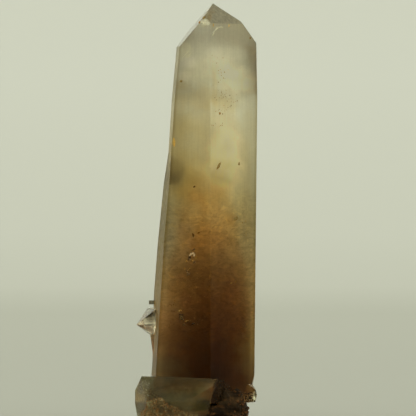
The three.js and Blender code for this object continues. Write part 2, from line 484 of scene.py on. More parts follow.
@dataclass(frozen=True)
class QuartzFinish:
    """Clear to smoky quartz: tint by height on the main crystal, frost, striations and absorption."""

    ior: float = 1.544
    clarity: float = 0.96
    polish: float = 0.24
    frost: Grain = Grain(1.6, 5.0, 0.6, band=(0.25, 0.75), tones=(0.3, 0.4))
    sheen: Colour = (0.055, 0.045, 0.025)
    height: float = 105.0
    clear: Colour = (0.88, 0.8, 0.6)
    olive: Colour = (0.9, 0.8, 0.46)
    olive_band: tuple[float, float] = (12.0, 15.0)
    cloudy: Grain = Grain(1.3, 5.0, 0.65, 0.6, band=(0.3, 0.7), tones=(0.72, 1.1))
    honey: Colour = (0.82, 0.6, 0.22)
    honey_density: float = 6.0
    tints: tuple[tuple[float, Colour], ...] = (
        (0.0, (2.0, 2.75, 3.7)),
        (14.0, (1.85, 2.5, 3.5)),
        (22.0, (1.5, 2.1, 3.25)),
        (30.0, (1.15, 1.67, 2.7)),
        (38.0, (0.96, 1.38, 2.33)),
        (47.0, (0.65, 0.87, 1.52)),
        (56.0, (0.42, 0.54, 1.06)),
        (66.0, (0.17, 0.22, 0.54)),
        (80.0, (0.16, 0.2, 0.44)),
        (90.0, (0.22, 0.26, 0.38)),
        (105.0, (0.26, 0.3, 0.48)),
    )
    # Lighter, darker and hue-shifted regions over the smoky tint: partly the crystal's own smoke and cloud,
    # partly painted light thrown by refraction.
    blots: tuple[Blot, ...] = (
        Blot(2.6, 89.0, 5.5, 5.5, (1.34, 1.3, 1.26)),
        Blot(7.6, 85.5, 6.5, 4.5, (1.45, 1.4, 1.32)),
        Blot(-4.0, 87.5, 5.5, 3.4, (1.14, 1.14, 1.12)),
        Blot(-7.2, 93.4, 2.6, 3.2, (1.25, 1.25, 1.15)),
        Blot(9.8, 90.8, 3.2, 5.0, (0.78, 0.78, 0.72)),
        Blot(-0.9, 102.0, 1.6, 3.0, (0.84, 0.68, 0.46), deep=9.0),
        Blot(-8.5, 78.0, 6.0, 11.0, (0.9, 0.81, 0.62)),
        Blot(3.5, 80.0, 4.5, 3.0, (0.97, 0.92, 0.8)),
        Blot(-0.5, 81.5, 11.0, 3.6, (0.98, 0.9, 0.76)),
        Blot(-8.2, 62.0, 7.5, 11.0, (0.86, 0.75, 0.52)),
        # Painted light: the brighter zone right of the middle.
        Blot(3.8, 66.0, 6.0, 12.0, (1.5, 1.36, 1.2)),
        Blot(9.9, 71.5, 4.2, 14.0, (0.86, 0.8, 0.68)),
        Blot(0.5, 52.0, 6.5, 9.0, (1.16, 1.12, 1.0)),
        Blot(8.5, 50.0, 5.5, 12.0, (0.8, 0.75, 0.62)),
        Blot(-8.5, 52.0, 4.5, 6.0, (0.85, 0.88, 0.95)),
        Blot(-8.5, 43.0, 6.0, 9.0, (0.95, 1.03, 1.38)),
        Blot(-13.0, 23.0, 9.0, 18.0, (1.28, 1.6, 2.35)),
        Blot(-13.0, 12.5, 9.5, 8.5, (2.2, 3.1, 3.2)),
        Blot(-6.0, 31.5, 5.0, 6.0, (1.4, 1.4, 1.3)),
        Blot(11.0, 31.0, 6.0, 9.0, (0.8, 0.84, 0.9)),
        Blot(11.5, 17.5, 6.5, 10.5, (2.0, 3.1, 3.3)),
        Blot(3.0, 20.0, 9.0, 22.0, (1.12, 0.9, 0.5)),
        Blot(2.2, 15.0, 4.2, 8.5, (0.66, 0.58, 0.42)),
    )
    wisps: tuple[Blot, ...] = (
        Blot(4.7, 88.0, 3.6, 2.6, (1.16, 1.16, 1.2)),
        Blot(10.6, 84.8, 3.0, 4.2, (1.5, 1.5, 1.5)),
        Blot(0.6, 93.0, 3.2, 1.8, (1.14, 1.14, 1.16)),
        Blot(-5.4, 90.0, 3.0, 2.0, (1.25, 1.24, 1.3)),
        Blot(-6.9, 86.6, 2.6, 1.8, (1.22, 1.2, 1.24)),
        Blot(0.9, 83.0, 1.0, 9.0, (0.94, 0.88, 0.76)),
        Blot(-7.4, 84.4, 3.2, 1.6, (0.94, 0.86, 0.72)),
        Blot(4.0, 76.5, 3.6, 3.4, (1.14, 1.12, 1.14)),
        Blot(5.6, 69.5, 3.6, 5.5, (1.16, 1.14, 1.2)),
        Blot(1.6, 62.0, 4.4, 3.8, (1.32, 1.32, 1.36)),
        Blot(-5.0, 41.4, 1.7, 2.0, (0.8, 0.74, 0.7)),
        Blot(-5.6, 37.6, 1.6, 1.5, (0.78, 0.7, 0.66)),
        Blot(-7.5, 36.6, 1.6, 1.3, (1.06, 1.0, 1.1)),
        Blot(-7.1, 26.8, 1.5, 1.4, (0.72, 0.72, 0.74)),
        Blot(-4.4, 25.2, 1.6, 0.9, (0.7, 0.68, 0.7)),
        Blot(5.8, 35.2, 1.8, 1.2, (0.9, 0.86, 0.84)),
        Blot(6.3, 51.4, 1.3, 0.9, (0.84, 0.84, 0.84)),
        Blot(1.3, 18.0, 1.8, 7.5, (0.74, 0.66, 0.6)),
        Blot(4.4, 18.0, 4.4, 7.0, (1.0, 0.98, 0.7)),
        Blot(-1.4, 18.5, 1.6, 6.0, (1.0, 1.06, 1.35)),
        Blot(-2.6, 63.0, 4.6, 3.2, (1.14, 1.14, 1.14)),
        Blot(-6.0, 48.5, 3.0, 3.0, (0.86, 0.88, 1.0)),
        Blot(-12.5, 31.0, 1.5, 7.0, (0.8, 0.78, 0.76)),
        Blot(-6.2, 31.2, 2.2, 3.0, (0.88, 0.8, 0.88)),
        Blot(5.2, 33.5, 3.0, 4.0, (0.86, 0.78, 0.84)),
        Blot(9.9, 37.0, 2.0, 6.0, (0.84, 0.88, 1.05)),
        Blot(8.4, 45.0, 2.4, 8.0, (0.98, 1.02, 1.2)),
        Blot(-8.4, 58.4, 2.6, 3.0, (0.84, 0.77, 0.62)),
    )
    clear_blots: tuple[Blot, ...] = (
        Blot(-17.8, 8.0, 2.6, 6.0, (1.15, 1.3, 1.25), y=0.0),
        Blot(-2.5, 7.0, 3.0, 5.0, (0.84, 0.95, 0.86), y=-3.0, deep=8.0),
        Blot(-6.2, 9.9, 8.5, 3.0, (0.76, 0.68, 0.52), y=-3.0, deep=8.0),
        Blot(-2.4, 4.4, 3.2, 2.2, (1.2, 1.05, 0.6), y=-3.0, deep=8.0),
        # Painted shadow between the side crystal and the main crystal.
        Blot(-15.2, 26.6, 3.0, 3.4, (0.04, 0.03, 0.016), y=6.0),
        Blot(-16.9, 24.6, 1.5, 1.8, (1.2, 1.25, 1.35), y=6.0),
        Blot(-15.2, 30.6, 1.8, 1.4, (1.0, 0.84, 0.58), y=6.0),
        Blot(-4.8, 5.6, 3.0, 2.0, (1.4, 1.25, 1.15), y=-3.0, deep=8.0),
        Blot(-1.6, 8.2, 2.4, 2.6, (0.84, 0.94, 1.02), y=-3.0, deep=8.0),
        Blot(-0.2, 7.2, 1.9, 2.6, (0.5, 0.52, 0.52), y=-3.0, deep=8.0),
        Blot(-17.6, 9.6, 1.8, 1.8, (1.3, 1.35, 1.35), y=0.0),
        Blot(-17.6, 4.8, 1.8, 1.8, (1.35, 1.4, 1.4), y=0.0),
        Blot(11.4, 7.4, 2.6, 2.6, (1.1, 1.25, 1.7), y=6.0),
        Blot(-14.8, 21.0, 1.5, 5.0, (1.35, 1.5, 1.6), y=3.0),
    )
    strip: tuple[tuple[float, Colour], ...] = (
        (12.0, (0.9, 0.82, 0.42)),
        (24.0, (0.8, 0.69, 0.24)),
        (36.0, (0.51, 0.42, 0.11)),
        (50.0, (0.29, 0.23, 0.055)),
        (60.0, (0.33, 0.27, 0.095)),
        (72.0, (0.6, 0.52, 0.32)),
        (95.0, (0.62, 0.56, 0.38)),
    )
    strip_band: tuple[float, float] = (1.2, 1.8)
    blot_wander: float = 7.0
    wisp_wander: float = 2.0
    clear_wander: float = 1.0
    drift: float = 9.0
    drifting: Grain = Grain(14.0, 2.0)
    sides: PrismSides = PrismSides()
    ripples: Ripples = Ripples()
    streaks: Grain = Grain(0.5, 3.0, 0.6, 0.0, (1.0, 1.0, 0.06), (0.3, 0.7), (0.93, 1.05))
    dull_below: float = 0.7
    hammered: Grain = Grain(0.8, 5.0, 0.7, 0.0, (1.0, 1.0, 0.7), (0.35, 0.65), (0.72, 1.2))
    striation: Grain = Grain(0.9, 4.0, 0.6, stretch=(0.08, 0.08, 1.0))
    pits: Grain = Grain(0.7, 4.0, 0.65)
    pit_share: float = 0.5
    relief_depth: float = 0.03
    relief_strength: float = 0.6

    def build(self, origin: Vector) -> bpy.types.Material:
        """Dress the outer crystal.

        Args:
            origin: Where the crystal's frame starts, in metres.

        Returns:
            The crystal's material.
        """
        dye = Dye("smoky_quartz")
        mask = dye.attribute(CrystalGroup.TINTED)
        tone = dye.attribute(CrystalGroup.TONE)
        tint = self._smoky(dye, origin, mask)
        clear = self._clear(dye, origin)
        # The tone darkens some faces, parts and worn edges: painted shade on them.
        base = dye.scaled(dye.blend(mask, clear, tint), tone)
        dull = dye.math("LESS_THAN", tone, self.dull_below)
        uneven = dye.math("SUBTRACT", dye.toned(self.hammered), 1.0)
        base = dye.scaled(base, dye.math("MULTIPLY_ADD", uneven, dull, 1.0))
        rough = dye.math("SUBTRACT", dye.toned(self.frost), self.polish)
        rough = dye.math("MULTIPLY_ADD", rough, mask, self.polish)
        relief = dye.math("MULTIPLY_ADD", dye.grain(self.pits), self.pit_share, dye.grain(self.striation))
        dye.shade(Base_Color=base, Roughness=rough, IOR=self.ior, Transmission_Weight=self.clarity,
                  Specular_Tint=opaque(self.sheen),
                  Normal=dye.bump(relief, self.relief_depth, self.relief_strength))
        dye.absorb(self.honey, self.honey_density)
        return dye.material

    def _smoky(self, dye: Dye, origin: Vector, mask: Socket) -> Socket:
        """Colour the main crystal by height and place, and its narrow left face by height.

        Args:
            dye: The crystal's material.
            origin: Where the crystal's frame starts, in metres.
            mask: Socket that is 1 on the main crystal and more on its left face.

        Returns:
            The colour socket.
        """
        level = dye.math("MULTIPLY_ADD", dye.grain(self.drifting), self.drift * MM, dye.axis("Z"))
        level = dye.math("SUBTRACT", level, self.drift / 2 * MM)
        share = dye.math("DIVIDE", level, self.height * MM)
        tint = dye.ramp(share, [(z / self.height, transmitted(depth)) for z, depth in self.tints])
        # The blots lay painted light as well as the smoke's own patches.
        tint = dye.blotted(tint, self.blots, origin, self.blot_wander)
        tint = dye.blotted(tint, self.wisps, origin, self.wisp_wander)
        tint = dye.vector_math("MULTIPLY", tint, self.sides.factor(dye, origin))
        tint = self.ripples.lay(dye, tint)
        strip = dye.ramp(share, [(z / self.height, colour) for z, colour in self.strip])
        tint = dye.blend(dye.span(mask, *self.strip_band), tint, strip)
        return dye.scaled(tint, dye.toned(self.streaks))

    def _clear(self, dye: Dye, origin: Vector) -> Socket:
        """Colour the small crystals.

        Args:
            dye: The crystal's material.
            origin: Where the crystal's frame starts, in metres.

        Returns:
            The colour socket.
        """
        height = dye.span(dye.axis("Z"), *(each * MM for each in self.olive_band))
        clear = dye.blend(height, opaque(self.olive), opaque(self.clear))
        clear = dye.scaled(clear, dye.toned(self.cloudy))
        # The clear blots include a painted shadow between the side crystal and the main crystal.
        return dye.blotted(clear, self.clear_blots, origin, self.clear_wander)


@dataclass(frozen=True)
class ZoneFinish:
    """A colour zone sealed in the crystal: it bends no light and only absorbs it."""

    name: str
    colour: Colour
    density: float

    def build(self) -> bpy.types.Material:
        """Dress the zone.

        Returns:
            The zone's material.
        """
        dye = Dye(self.name)
        dye.shade(Base_Color=opaque(UNTINTED), Roughness=0.0, IOR=1.0, Transmission_Weight=1.0)
        dye.absorb(self.colour, self.density)
        return dye.material


@dataclass(frozen=True)
class VeilFinish:
    """A milky veil of minute bubbles: partly see-through, and it glows where light comes through."""

    name: str
    colour: Colour = (0.93, 0.9, 0.78)
    patch: float = 7.0
    thin: float = 0.36
    thick: float = 0.72
    strength: float = 0.55
    detail: float = 5.0
    rough: float = 0.55
    warp: float = 0.4
    matt: float = 0.12

    def build(self) -> bpy.types.Material:
        """Dress the veil.

        Returns:
            The veil's material.
        """
        dye = Dye(self.name)
        dye.tree.nodes.remove(dye.shader)
        cloud = dye.grain(Grain(self.patch, self.detail, self.rough, self.warp))
        cover = dye.math("MULTIPLY", dye.span(cloud, self.thin, self.thick), self.strength)
        cover = dye.math("MULTIPLY", cover, dye.attribute(Veils.FADE))
        clear = dye.add("ShaderNodeBsdfTransparent").outputs[0]
        glow = dye.feed(dye.add("ShaderNodeBsdfTranslucent"), Color=opaque(self.colour)).outputs[0]
        matt = dye.feed(dye.add("ShaderNodeBsdfDiffuse"), Color=opaque(self.colour)).outputs[0]
        body = dye.mixed(self.matt, glow, matt)
        dye.join(dye.output.inputs["Surface"], dye.mixed(cover, clear, body))
        return dye.material


@dataclass(frozen=True)
class SpeckFinish:
    """A small inclusion, mark or painted highlight: mottled in two tones, and in part lit through."""

    name: str
    colour: Colour
    rough: float
    glow: float
    mottle: Grain = Grain(0.35, band=(0.35, 0.65), tones=(0.7, 1.15))
    darkest: float = 0.6
    dulling: float = 0.15
    sheen: float = 0.06
    pits: Grain = Grain(0.2)
    depth: float = 0.03

    def build(self) -> bpy.types.Material:
        """Dress the marks of this kind.

        Returns:
            The marks' material.
        """
        dye = Dye(f"speck_{self.name}")
        mottle = dye.toned(self.mottle)
        dark = tuple(self.darkest * each for each in self.colour)
        base = dye.blend(mottle, opaque(dark), opaque(self.colour))
        rough = dye.span(mottle, *self.mottle.tones, self.rough + self.dulling, self.rough)
        dye.shade(Base_Color=base, Roughness=rough, Specular_IOR_Level=self.sheen,
                  Normal=dye.bump(dye.grain(self.pits), self.depth))
        dye.let_through(base, self.glow)
        return dye.material


class Speck(Enum):
    """Kinds of small inclusions and marks, and of painted highlights and glints."""

    FROST = SpeckFinish("frost", (0.97, 0.94, 0.82), 0.6, 0.75)
    # Painted glints: small bright yellow highlights, partly lit through.
    PAINTED_GLINT = SpeckFinish("painted_glint", (0.98, 0.75, 0.28), 0.5, 0.75)
    SMOKE = SpeckFinish("smoke", (0.5, 0.36, 0.14), 0.6, 0.6)
    UMBER = SpeckFinish("umber", (0.2, 0.11, 0.035), 0.6, 0.6)
    # Painted highlights on the flake in the left front face.
    WHITE = SpeckFinish("painted_highlight", (0.66, 0.46, 0.25), 0.6, 0.3)
    PALE = SpeckFinish("pale", (0.36, 0.25, 0.12), 0.6, 0.3)
    AMBER = SpeckFinish("amber", (0.5, 0.28, 0.07), 0.6, 0.4)
    BROWN = SpeckFinish("brown", (0.1, 0.052, 0.018), 0.7, 0.0)
    BLACK = SpeckFinish("black", (0.045, 0.024, 0.009), 0.75, 0.0)
    # Painted highlight: the dull one in the middle of the dark stone.
    PAINTED_DULL_HIGHLIGHT = SpeckFinish("painted_dull_highlight", (0.14, 0.085, 0.035), 0.6, 0.2)


@dataclass(frozen=True)
class RockFinish:
    """Brown iron-stained rock: near-black ground, rust patches, ochre grains and a painted shadow under the
    main crystal's front edge.
    """

    name: str = "iron_stained_rock"
    ground: Colour = (0.016, 0.009, 0.0034)
    brown: Colour = (0.034, 0.0185, 0.0068)
    rust: Colour = (0.078, 0.033, 0.01)
    ochre: Colour = (0.085, 0.05, 0.018)
    lumps: Grain = Grain(1.8, 6.0, 0.7, band=(0.38, 0.64))
    stain: Grain = Grain(2.4, 6.0, 0.7, 0.8, (1.0, 1.0, 1.8), (0.5, 0.66))
    grains: Grain = Grain(0.55, 4.0, 0.7, band=(0.6, 0.75))
    pits: Grain = Grain(0.25, 5.0, 0.7)
    grain_share: float = 0.4
    relief_depth: float = 0.08
    relief_strength: float = 0.8
    dullness: tuple[float, float, float, float] = (0.3, 0.7, 0.62, 0.92)
    sheen: float = 0.08
    blot_wander: float = 2.0
    blots: tuple[Blot, ...] = (
        # Painted shadow under the main crystal's front edge; the others are a lighter band between two
        # darker ones.
        Blot(1.2, 2.6, 4.0, 2.6, (0.3, 0.3, 0.3), y=3.0, deep=9.0),
        Blot(7.2, 6.4, 5.5, 0.9, (2.2, 2.0, 1.8), y=4.0, deep=9.0),
        Blot(5.2, 4.4, 4.6, 1.5, (0.52, 0.5, 0.46), y=4.0, deep=9.0),
        Blot(7.4, 8.0, 4.5, 1.2, (0.7, 0.66, 0.6), y=4.0, deep=9.0),
    )

    def build(self, origin: Vector) -> bpy.types.Material:
        """Dress the rock.

        Args:
            origin: Where the crystal's frame starts, in metres.

        Returns:
            The rock's material.
        """
        dye = Dye(self.name)
        grains = dye.grain(self.grains)
        base = dye.blend(dye.toned(self.lumps), opaque(self.ground), opaque(self.brown))
        base = dye.blend(dye.toned(self.stain), base, opaque(self.rust))
        base = dye.blend(dye.span(grains, *self.grains.band), base, opaque(self.ochre))
        # The blots include a painted shadow under the main crystal's front edge.
        base = dye.blotted(base, self.blots, origin, self.blot_wander)
        relief = dye.math("MULTIPLY_ADD", grains, self.grain_share, dye.grain(self.pits))
        dye.shade(Base_Color=base, Roughness=dye.span(grains, *self.dullness), Specular_IOR_Level=self.sheen,
                  Normal=dye.bump(relief, self.relief_depth, self.relief_strength))
        return dye.material


@dataclass(frozen=True)
class CrumbFinish:
    """Crumbs whose tone runs between colours by a shade kept on each crumb."""

    name: str
    tones: tuple[Colour, ...]
    rough: float = 0.75
    glow: float = 0.0
    uneven: float = 0.1
    sheen: float = 0.1
    mottle: Grain = Grain(0.3, 4.0, 0.6, band=(0.3, 0.7), tones=(0.6, 1.1))
    pits: Grain = Grain(0.15)
    depth: float = 0.04

    def build(self) -> bpy.types.Material:
        """Dress the crumbs.

        Returns:
            The crumbs' material.
        """
        dye = Dye(self.name)
        last = len(self.tones) - 1
        stops = [(index / last, tone) for index, tone in enumerate(self.tones)]
        base = dye.ramp(dye.attribute(StrewTree.SHADE), stops)
        mottle = dye.toned(self.mottle)
        base = dye.scaled(base, mottle)
        rough = dye.span(mottle, *self.mottle.tones, self.rough + self.uneven, self.rough - self.uneven)
        dye.shade(Base_Color=base, Roughness=rough, Specular_IOR_Level=self.sheen,
                  Normal=dye.bump(dye.grain(self.pits), self.depth))
        dye.let_through(base, self.glow)
        return dye.material


# ---------------------------------------------------------------------------------------------
# Mesh helpers
# ---------------------------------------------------------------------------------------------


def piece_from(shape: bmesh.types.BMesh, name: str, material: bpy.types.Material | None = None,
               smooth: bool = False) -> bpy.types.Object:
    """Turn a bmesh into a linked object at the origin.

    Args:
        shape: The mesh in metres, freed here.
        name: The piece's name.
        material: Its material.
        smooth: Shade its faces smooth.

    Returns:
        The new object.
    """
    mesh = bpy.data.meshes.new(name)
    shape.to_mesh(mesh)
    shape.free()
    if smooth:
        mesh.shade_smooth()
    else:
        mesh.shade_flat()
    if material:
        mesh.materials.append(material)
    piece = bpy.data.objects.new(name, mesh)
    bpy.context.scene.collection.objects.link(piece)
    return piece


def settle(piece: bpy.types.Object) -> None:
    """Apply a piece's modifiers, so that it is a plain mesh.

    Args:
        piece: The piece, whose mesh is replaced.
    """
    depsgraph = bpy.context.evaluated_depsgraph_get()
    made = bpy.data.meshes.new_from_object(piece.evaluated_get(depsgraph))
    piece.modifiers.clear()
    spent = piece.data
    piece.data = made
    made.name = piece.name
    bpy.data.meshes.remove(spent)


def keep(piece: bpy.types.Object, slot: Slot, *nodes: str) -> bpy.types.Object:
    """Attach a finished piece, which rides on the one body, hide the frame's nodes that it stands for, and
    log it.

    Args:
        piece: The finished piece.
        slot: Its material slot; not used.
        *nodes: The frame's nodes that it stands for.

    Returns:
        The same piece.
    """
    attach(piece, BODY)
    if nodes:
        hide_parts(*nodes)
    LOG.info("%s: %d faces", piece.name, len(piece.data.polygons))
    return piece


def new_tree(name: str, inputs: Sequence[tuple[str, str]]) -> tuple[bpy.types.NodeTree, dict[str, str]]:
    """Make an empty Geometry Nodes tree with named inputs.

    Args:
        name: The tree's name.
        inputs: Name and socket type of each input that comes after the geometry.

    Returns:
        The tree, and the identifier of each input by its name.
    """
    tree = bpy.data.node_groups.new(name, "GeometryNodeTree")
    face = tree.interface
    face.new_socket(name="Geometry", in_out="OUTPUT", socket_type="NodeSocketGeometry")
    face.new_socket(name="Geometry", in_out="INPUT", socket_type="NodeSocketGeometry")
    return tree, {label: face.new_socket(name=label, in_out="INPUT", socket_type=kind).identifier
                  for label, kind in inputs}


def add_nodes(piece: bpy.types.Object, tree: bpy.types.NodeTree, sockets: dict[str, str],
              values: dict[str, object]) -> None:
    """Give a piece a Geometry Nodes modifier.

    Args:
        piece: The piece.
        tree: The node tree.
        sockets: The identifier of each input by its name.
        values: The value of each input by its name.
    """
    modifier = piece.modifiers.new(tree.name, "NODES")
    modifier.node_group = tree
    for label, value in values.items():
        modifier[sockets[label]] = value


@dataclass(frozen=True)
class Uneven:
    """How a lump's surface wanders, as a share of its radius, and the fineness of its mesh."""

    WAVES = 1.7
    SLANT = 0.7

    roughness: float
    seed_step: float
    detail: int


def lump(shape: bmesh.types.BMesh, centre: Vector, radii: Vector, turn: Matrix, uneven: Uneven,
         index: int) -> None:
    """Add an irregular closed lump to a bmesh.

    Args:
        shape: The bmesh in metres.
        centre: Its centre in metres.
        radii: Its half sizes in metres before it is turned.
        turn: Rotation as a 3 by 3 matrix.
        uneven: How its surface wanders.
        index: The lump's number, which changes its form.
    """
    seed = uneven.seed_step * index
    shift = Vector((seed, seed * uneven.SLANT, -seed))
    made = bmesh.ops.create_icosphere(shape, subdivisions=uneven.detail, radius=1.0)
    for vertex in made["verts"]:
        wander = noise.noise(vertex.co * uneven.WAVES + shift)
        swell = 1.0 + uneven.roughness * wander
        vertex.co = centre + turn @ Vector((vertex.co.x * radii.x, vertex.co.y * radii.y,
                                            vertex.co.z * radii.z)) * swell


def heading(angle: float, rise: float = 0.0) -> Vector:
    """Return a direction.

    Args:
        angle: Angle from the x axis in degrees.
        rise: Angle above the level in degrees.

    Returns:
        The direction, one metre long.
    """
    level = math.cos(math.radians(rise))
    return Vector((level * math.cos(math.radians(angle)), level * math.sin(math.radians(angle)),
                   math.sin(math.radians(rise))))


def eased(share: float) -> float:
    """Return a share from 0 to 1 with eased ends."""
    return share * share * (3.0 - 2.0 * share)


def within(edge: Sequence[tuple[float, float]], x: float, z: float) -> bool:
    """Return whether a place lies inside an outline.

    Args:
        edge: The outline's points in order.
        x: First coordinate of the place.
        z: Second coordinate of the place.

    Returns:
        True inside.
    """
    inside = False
    for (x0, z0), (x1, z1) in zip(edge, (*edge[1:], edge[0])):
        if (z0 > z) != (z1 > z) and x < x0 + (z - z0) * (x1 - x0) / (z1 - z0):
            inside = not inside
    return inside


# ---------------------------------------------------------------------------------------------
# The crystal's own frame and form
# ---------------------------------------------------------------------------------------------


class CrystalForm:
    """The solid crystal group as the frame gives it, measured in its own millimetres."""

    APEX: Place = (0.57, 5.55, 105.0)
    BARE_FROM: float = 21.0
    AXIS: tuple[float, float] = (-0.6, 10.5)
    IN_FRONT: float = -60.0
    DIRECTIONS: int = 48
    SAME_PLACE: float = 0.001
    SAME_CORNER: float = 0.01
    FLAT_WITHIN: float = 1.2

    def __init__(self, node: bpy.types.Object) -> None:
        """Read a node's mesh and find the crystal's frame from its apex.

        Args:
            node: The frame's crystal group.
        """
        self.mesh = bmesh.new()
        self.mesh.from_mesh(node.data)
        bmesh.ops.remove_doubles(self.mesh, verts=self.mesh.verts, dist=self.SAME_PLACE * MM)
        bmesh.ops.dissolve_limit(self.mesh, angle_limit=math.radians(self.FLAT_WITHIN),
                                 verts=self.mesh.verts, edges=self.mesh.edges)
        apex = max((vertex.co for vertex in self.mesh.verts), key=lambda place: place.z)
        self.origin = apex - Vector(self.APEX) * MM
        self.tree = BVHTree.FromBMesh(self.mesh)

    def _look(self, x: float, z: float) -> tuple[Vector | None, Vector | None, int | None, float | None]:
        """Return what a line from the front meets first: place, normal, face and way."""
        return self.tree.ray_cast(self.row(x, self.IN_FRONT, z), Vector((0.0, 1.0, 0.0)))

    def row(self, x: float, y: float, z: float) -> Vector:
        """Return a place in the frame's metres from crystal millimetres."""
        return self.origin + Vector((x, y, z)) * MM

    def front(self, x: float, z: float) -> tuple[Vector, Vector]:
        """Find the surface that faces the front.

        Args:
            x: Place across in millimetres.
            z: Height in millimetres.

        Returns:
            The point in metres and the surface's normal.

        Raises:
            ValueError: Nothing lies there.
        """
        place, normal, _, _ = self._look(x, z)
        if place is None:
            raise ValueError(f"nothing lies behind {x}, {z}")
        return place, normal

    def meets(self, x: float, z: float) -> bool:
        """Return whether the crystal is seen from the front there."""
        return self._look(x, z)[0] is not None

    def front_patch(self, edge: Sequence[tuple[float, float]], step: float, name: str) -> bpy.types.Object:
        """Make a carrier that lies on the front of the solid.

        Args:
            edge: The patch's outline in x and z millimetres.
            step: Size of its cells in millimetres.
            name: The carrier's name.

        Returns:
            An open mesh object that the caller removes.
        """
        left = min(x for x, _ in edge)
        low = min(z for _, z in edge)
        shape = bmesh.new()
        for column in range(math.ceil((max(x for x, _ in edge) - left) / step)):
            for row in range(math.ceil((max(z for _, z in edge) - low) / step)):
                x = left + column * step
                z = low + row * step
                corners = ((x, z), (x + step, z), (x + step, z + step), (x, z + step))
                if within(edge, x + step / 2, z + step / 2) and all(self.meets(*each) for each in corners):
                    shape.faces.new([shape.verts.new(self.front(*corner)[0]) for corner in corners])
        bmesh.ops.remove_doubles(shape, verts=shape.verts, dist=self.SAME_CORNER * MM)
        return piece_from(shape, name)

    def outline(self, z: float, share: float) -> list[Vector]:
        """Make a closed outline inside the main crystal at one height.

        Args:
            z: Height in millimetres.
            share: Share of the way from the axis to the surface.

        Returns:
            Places in metres, anticlockwise from above.
        """
        centre = self.row(*self.AXIS, max(z, self.BARE_FROM))
        places = []
        for index in range(self.DIRECTIONS):
            angle = math.tau * index / self.DIRECTIONS
            way = Vector((math.cos(angle), math.sin(angle), 0.0))
            place, _, _, reach = self.tree.ray_cast(centre, way)
            if place is None:
                reach = 0.0
            point = centre + way * (reach * share)
            point.z = z * MM
            places.append(point)
        return places


# ---------------------------------------------------------------------------------------------
# Strewn grains
# ---------------------------------------------------------------------------------------------


@dataclass(frozen=True)
class Strewing:
    """How grains lie on a carrier: how many, how large, how flat and in what patches."""

    per_square_mm: float
    size: float
    seed: int
    spread: float = 0.65
    flatness: float = 0.6
    patch: float = 4.0
    bare: float = 0.45
    full: float = 0.6
    wander: float = 0.8


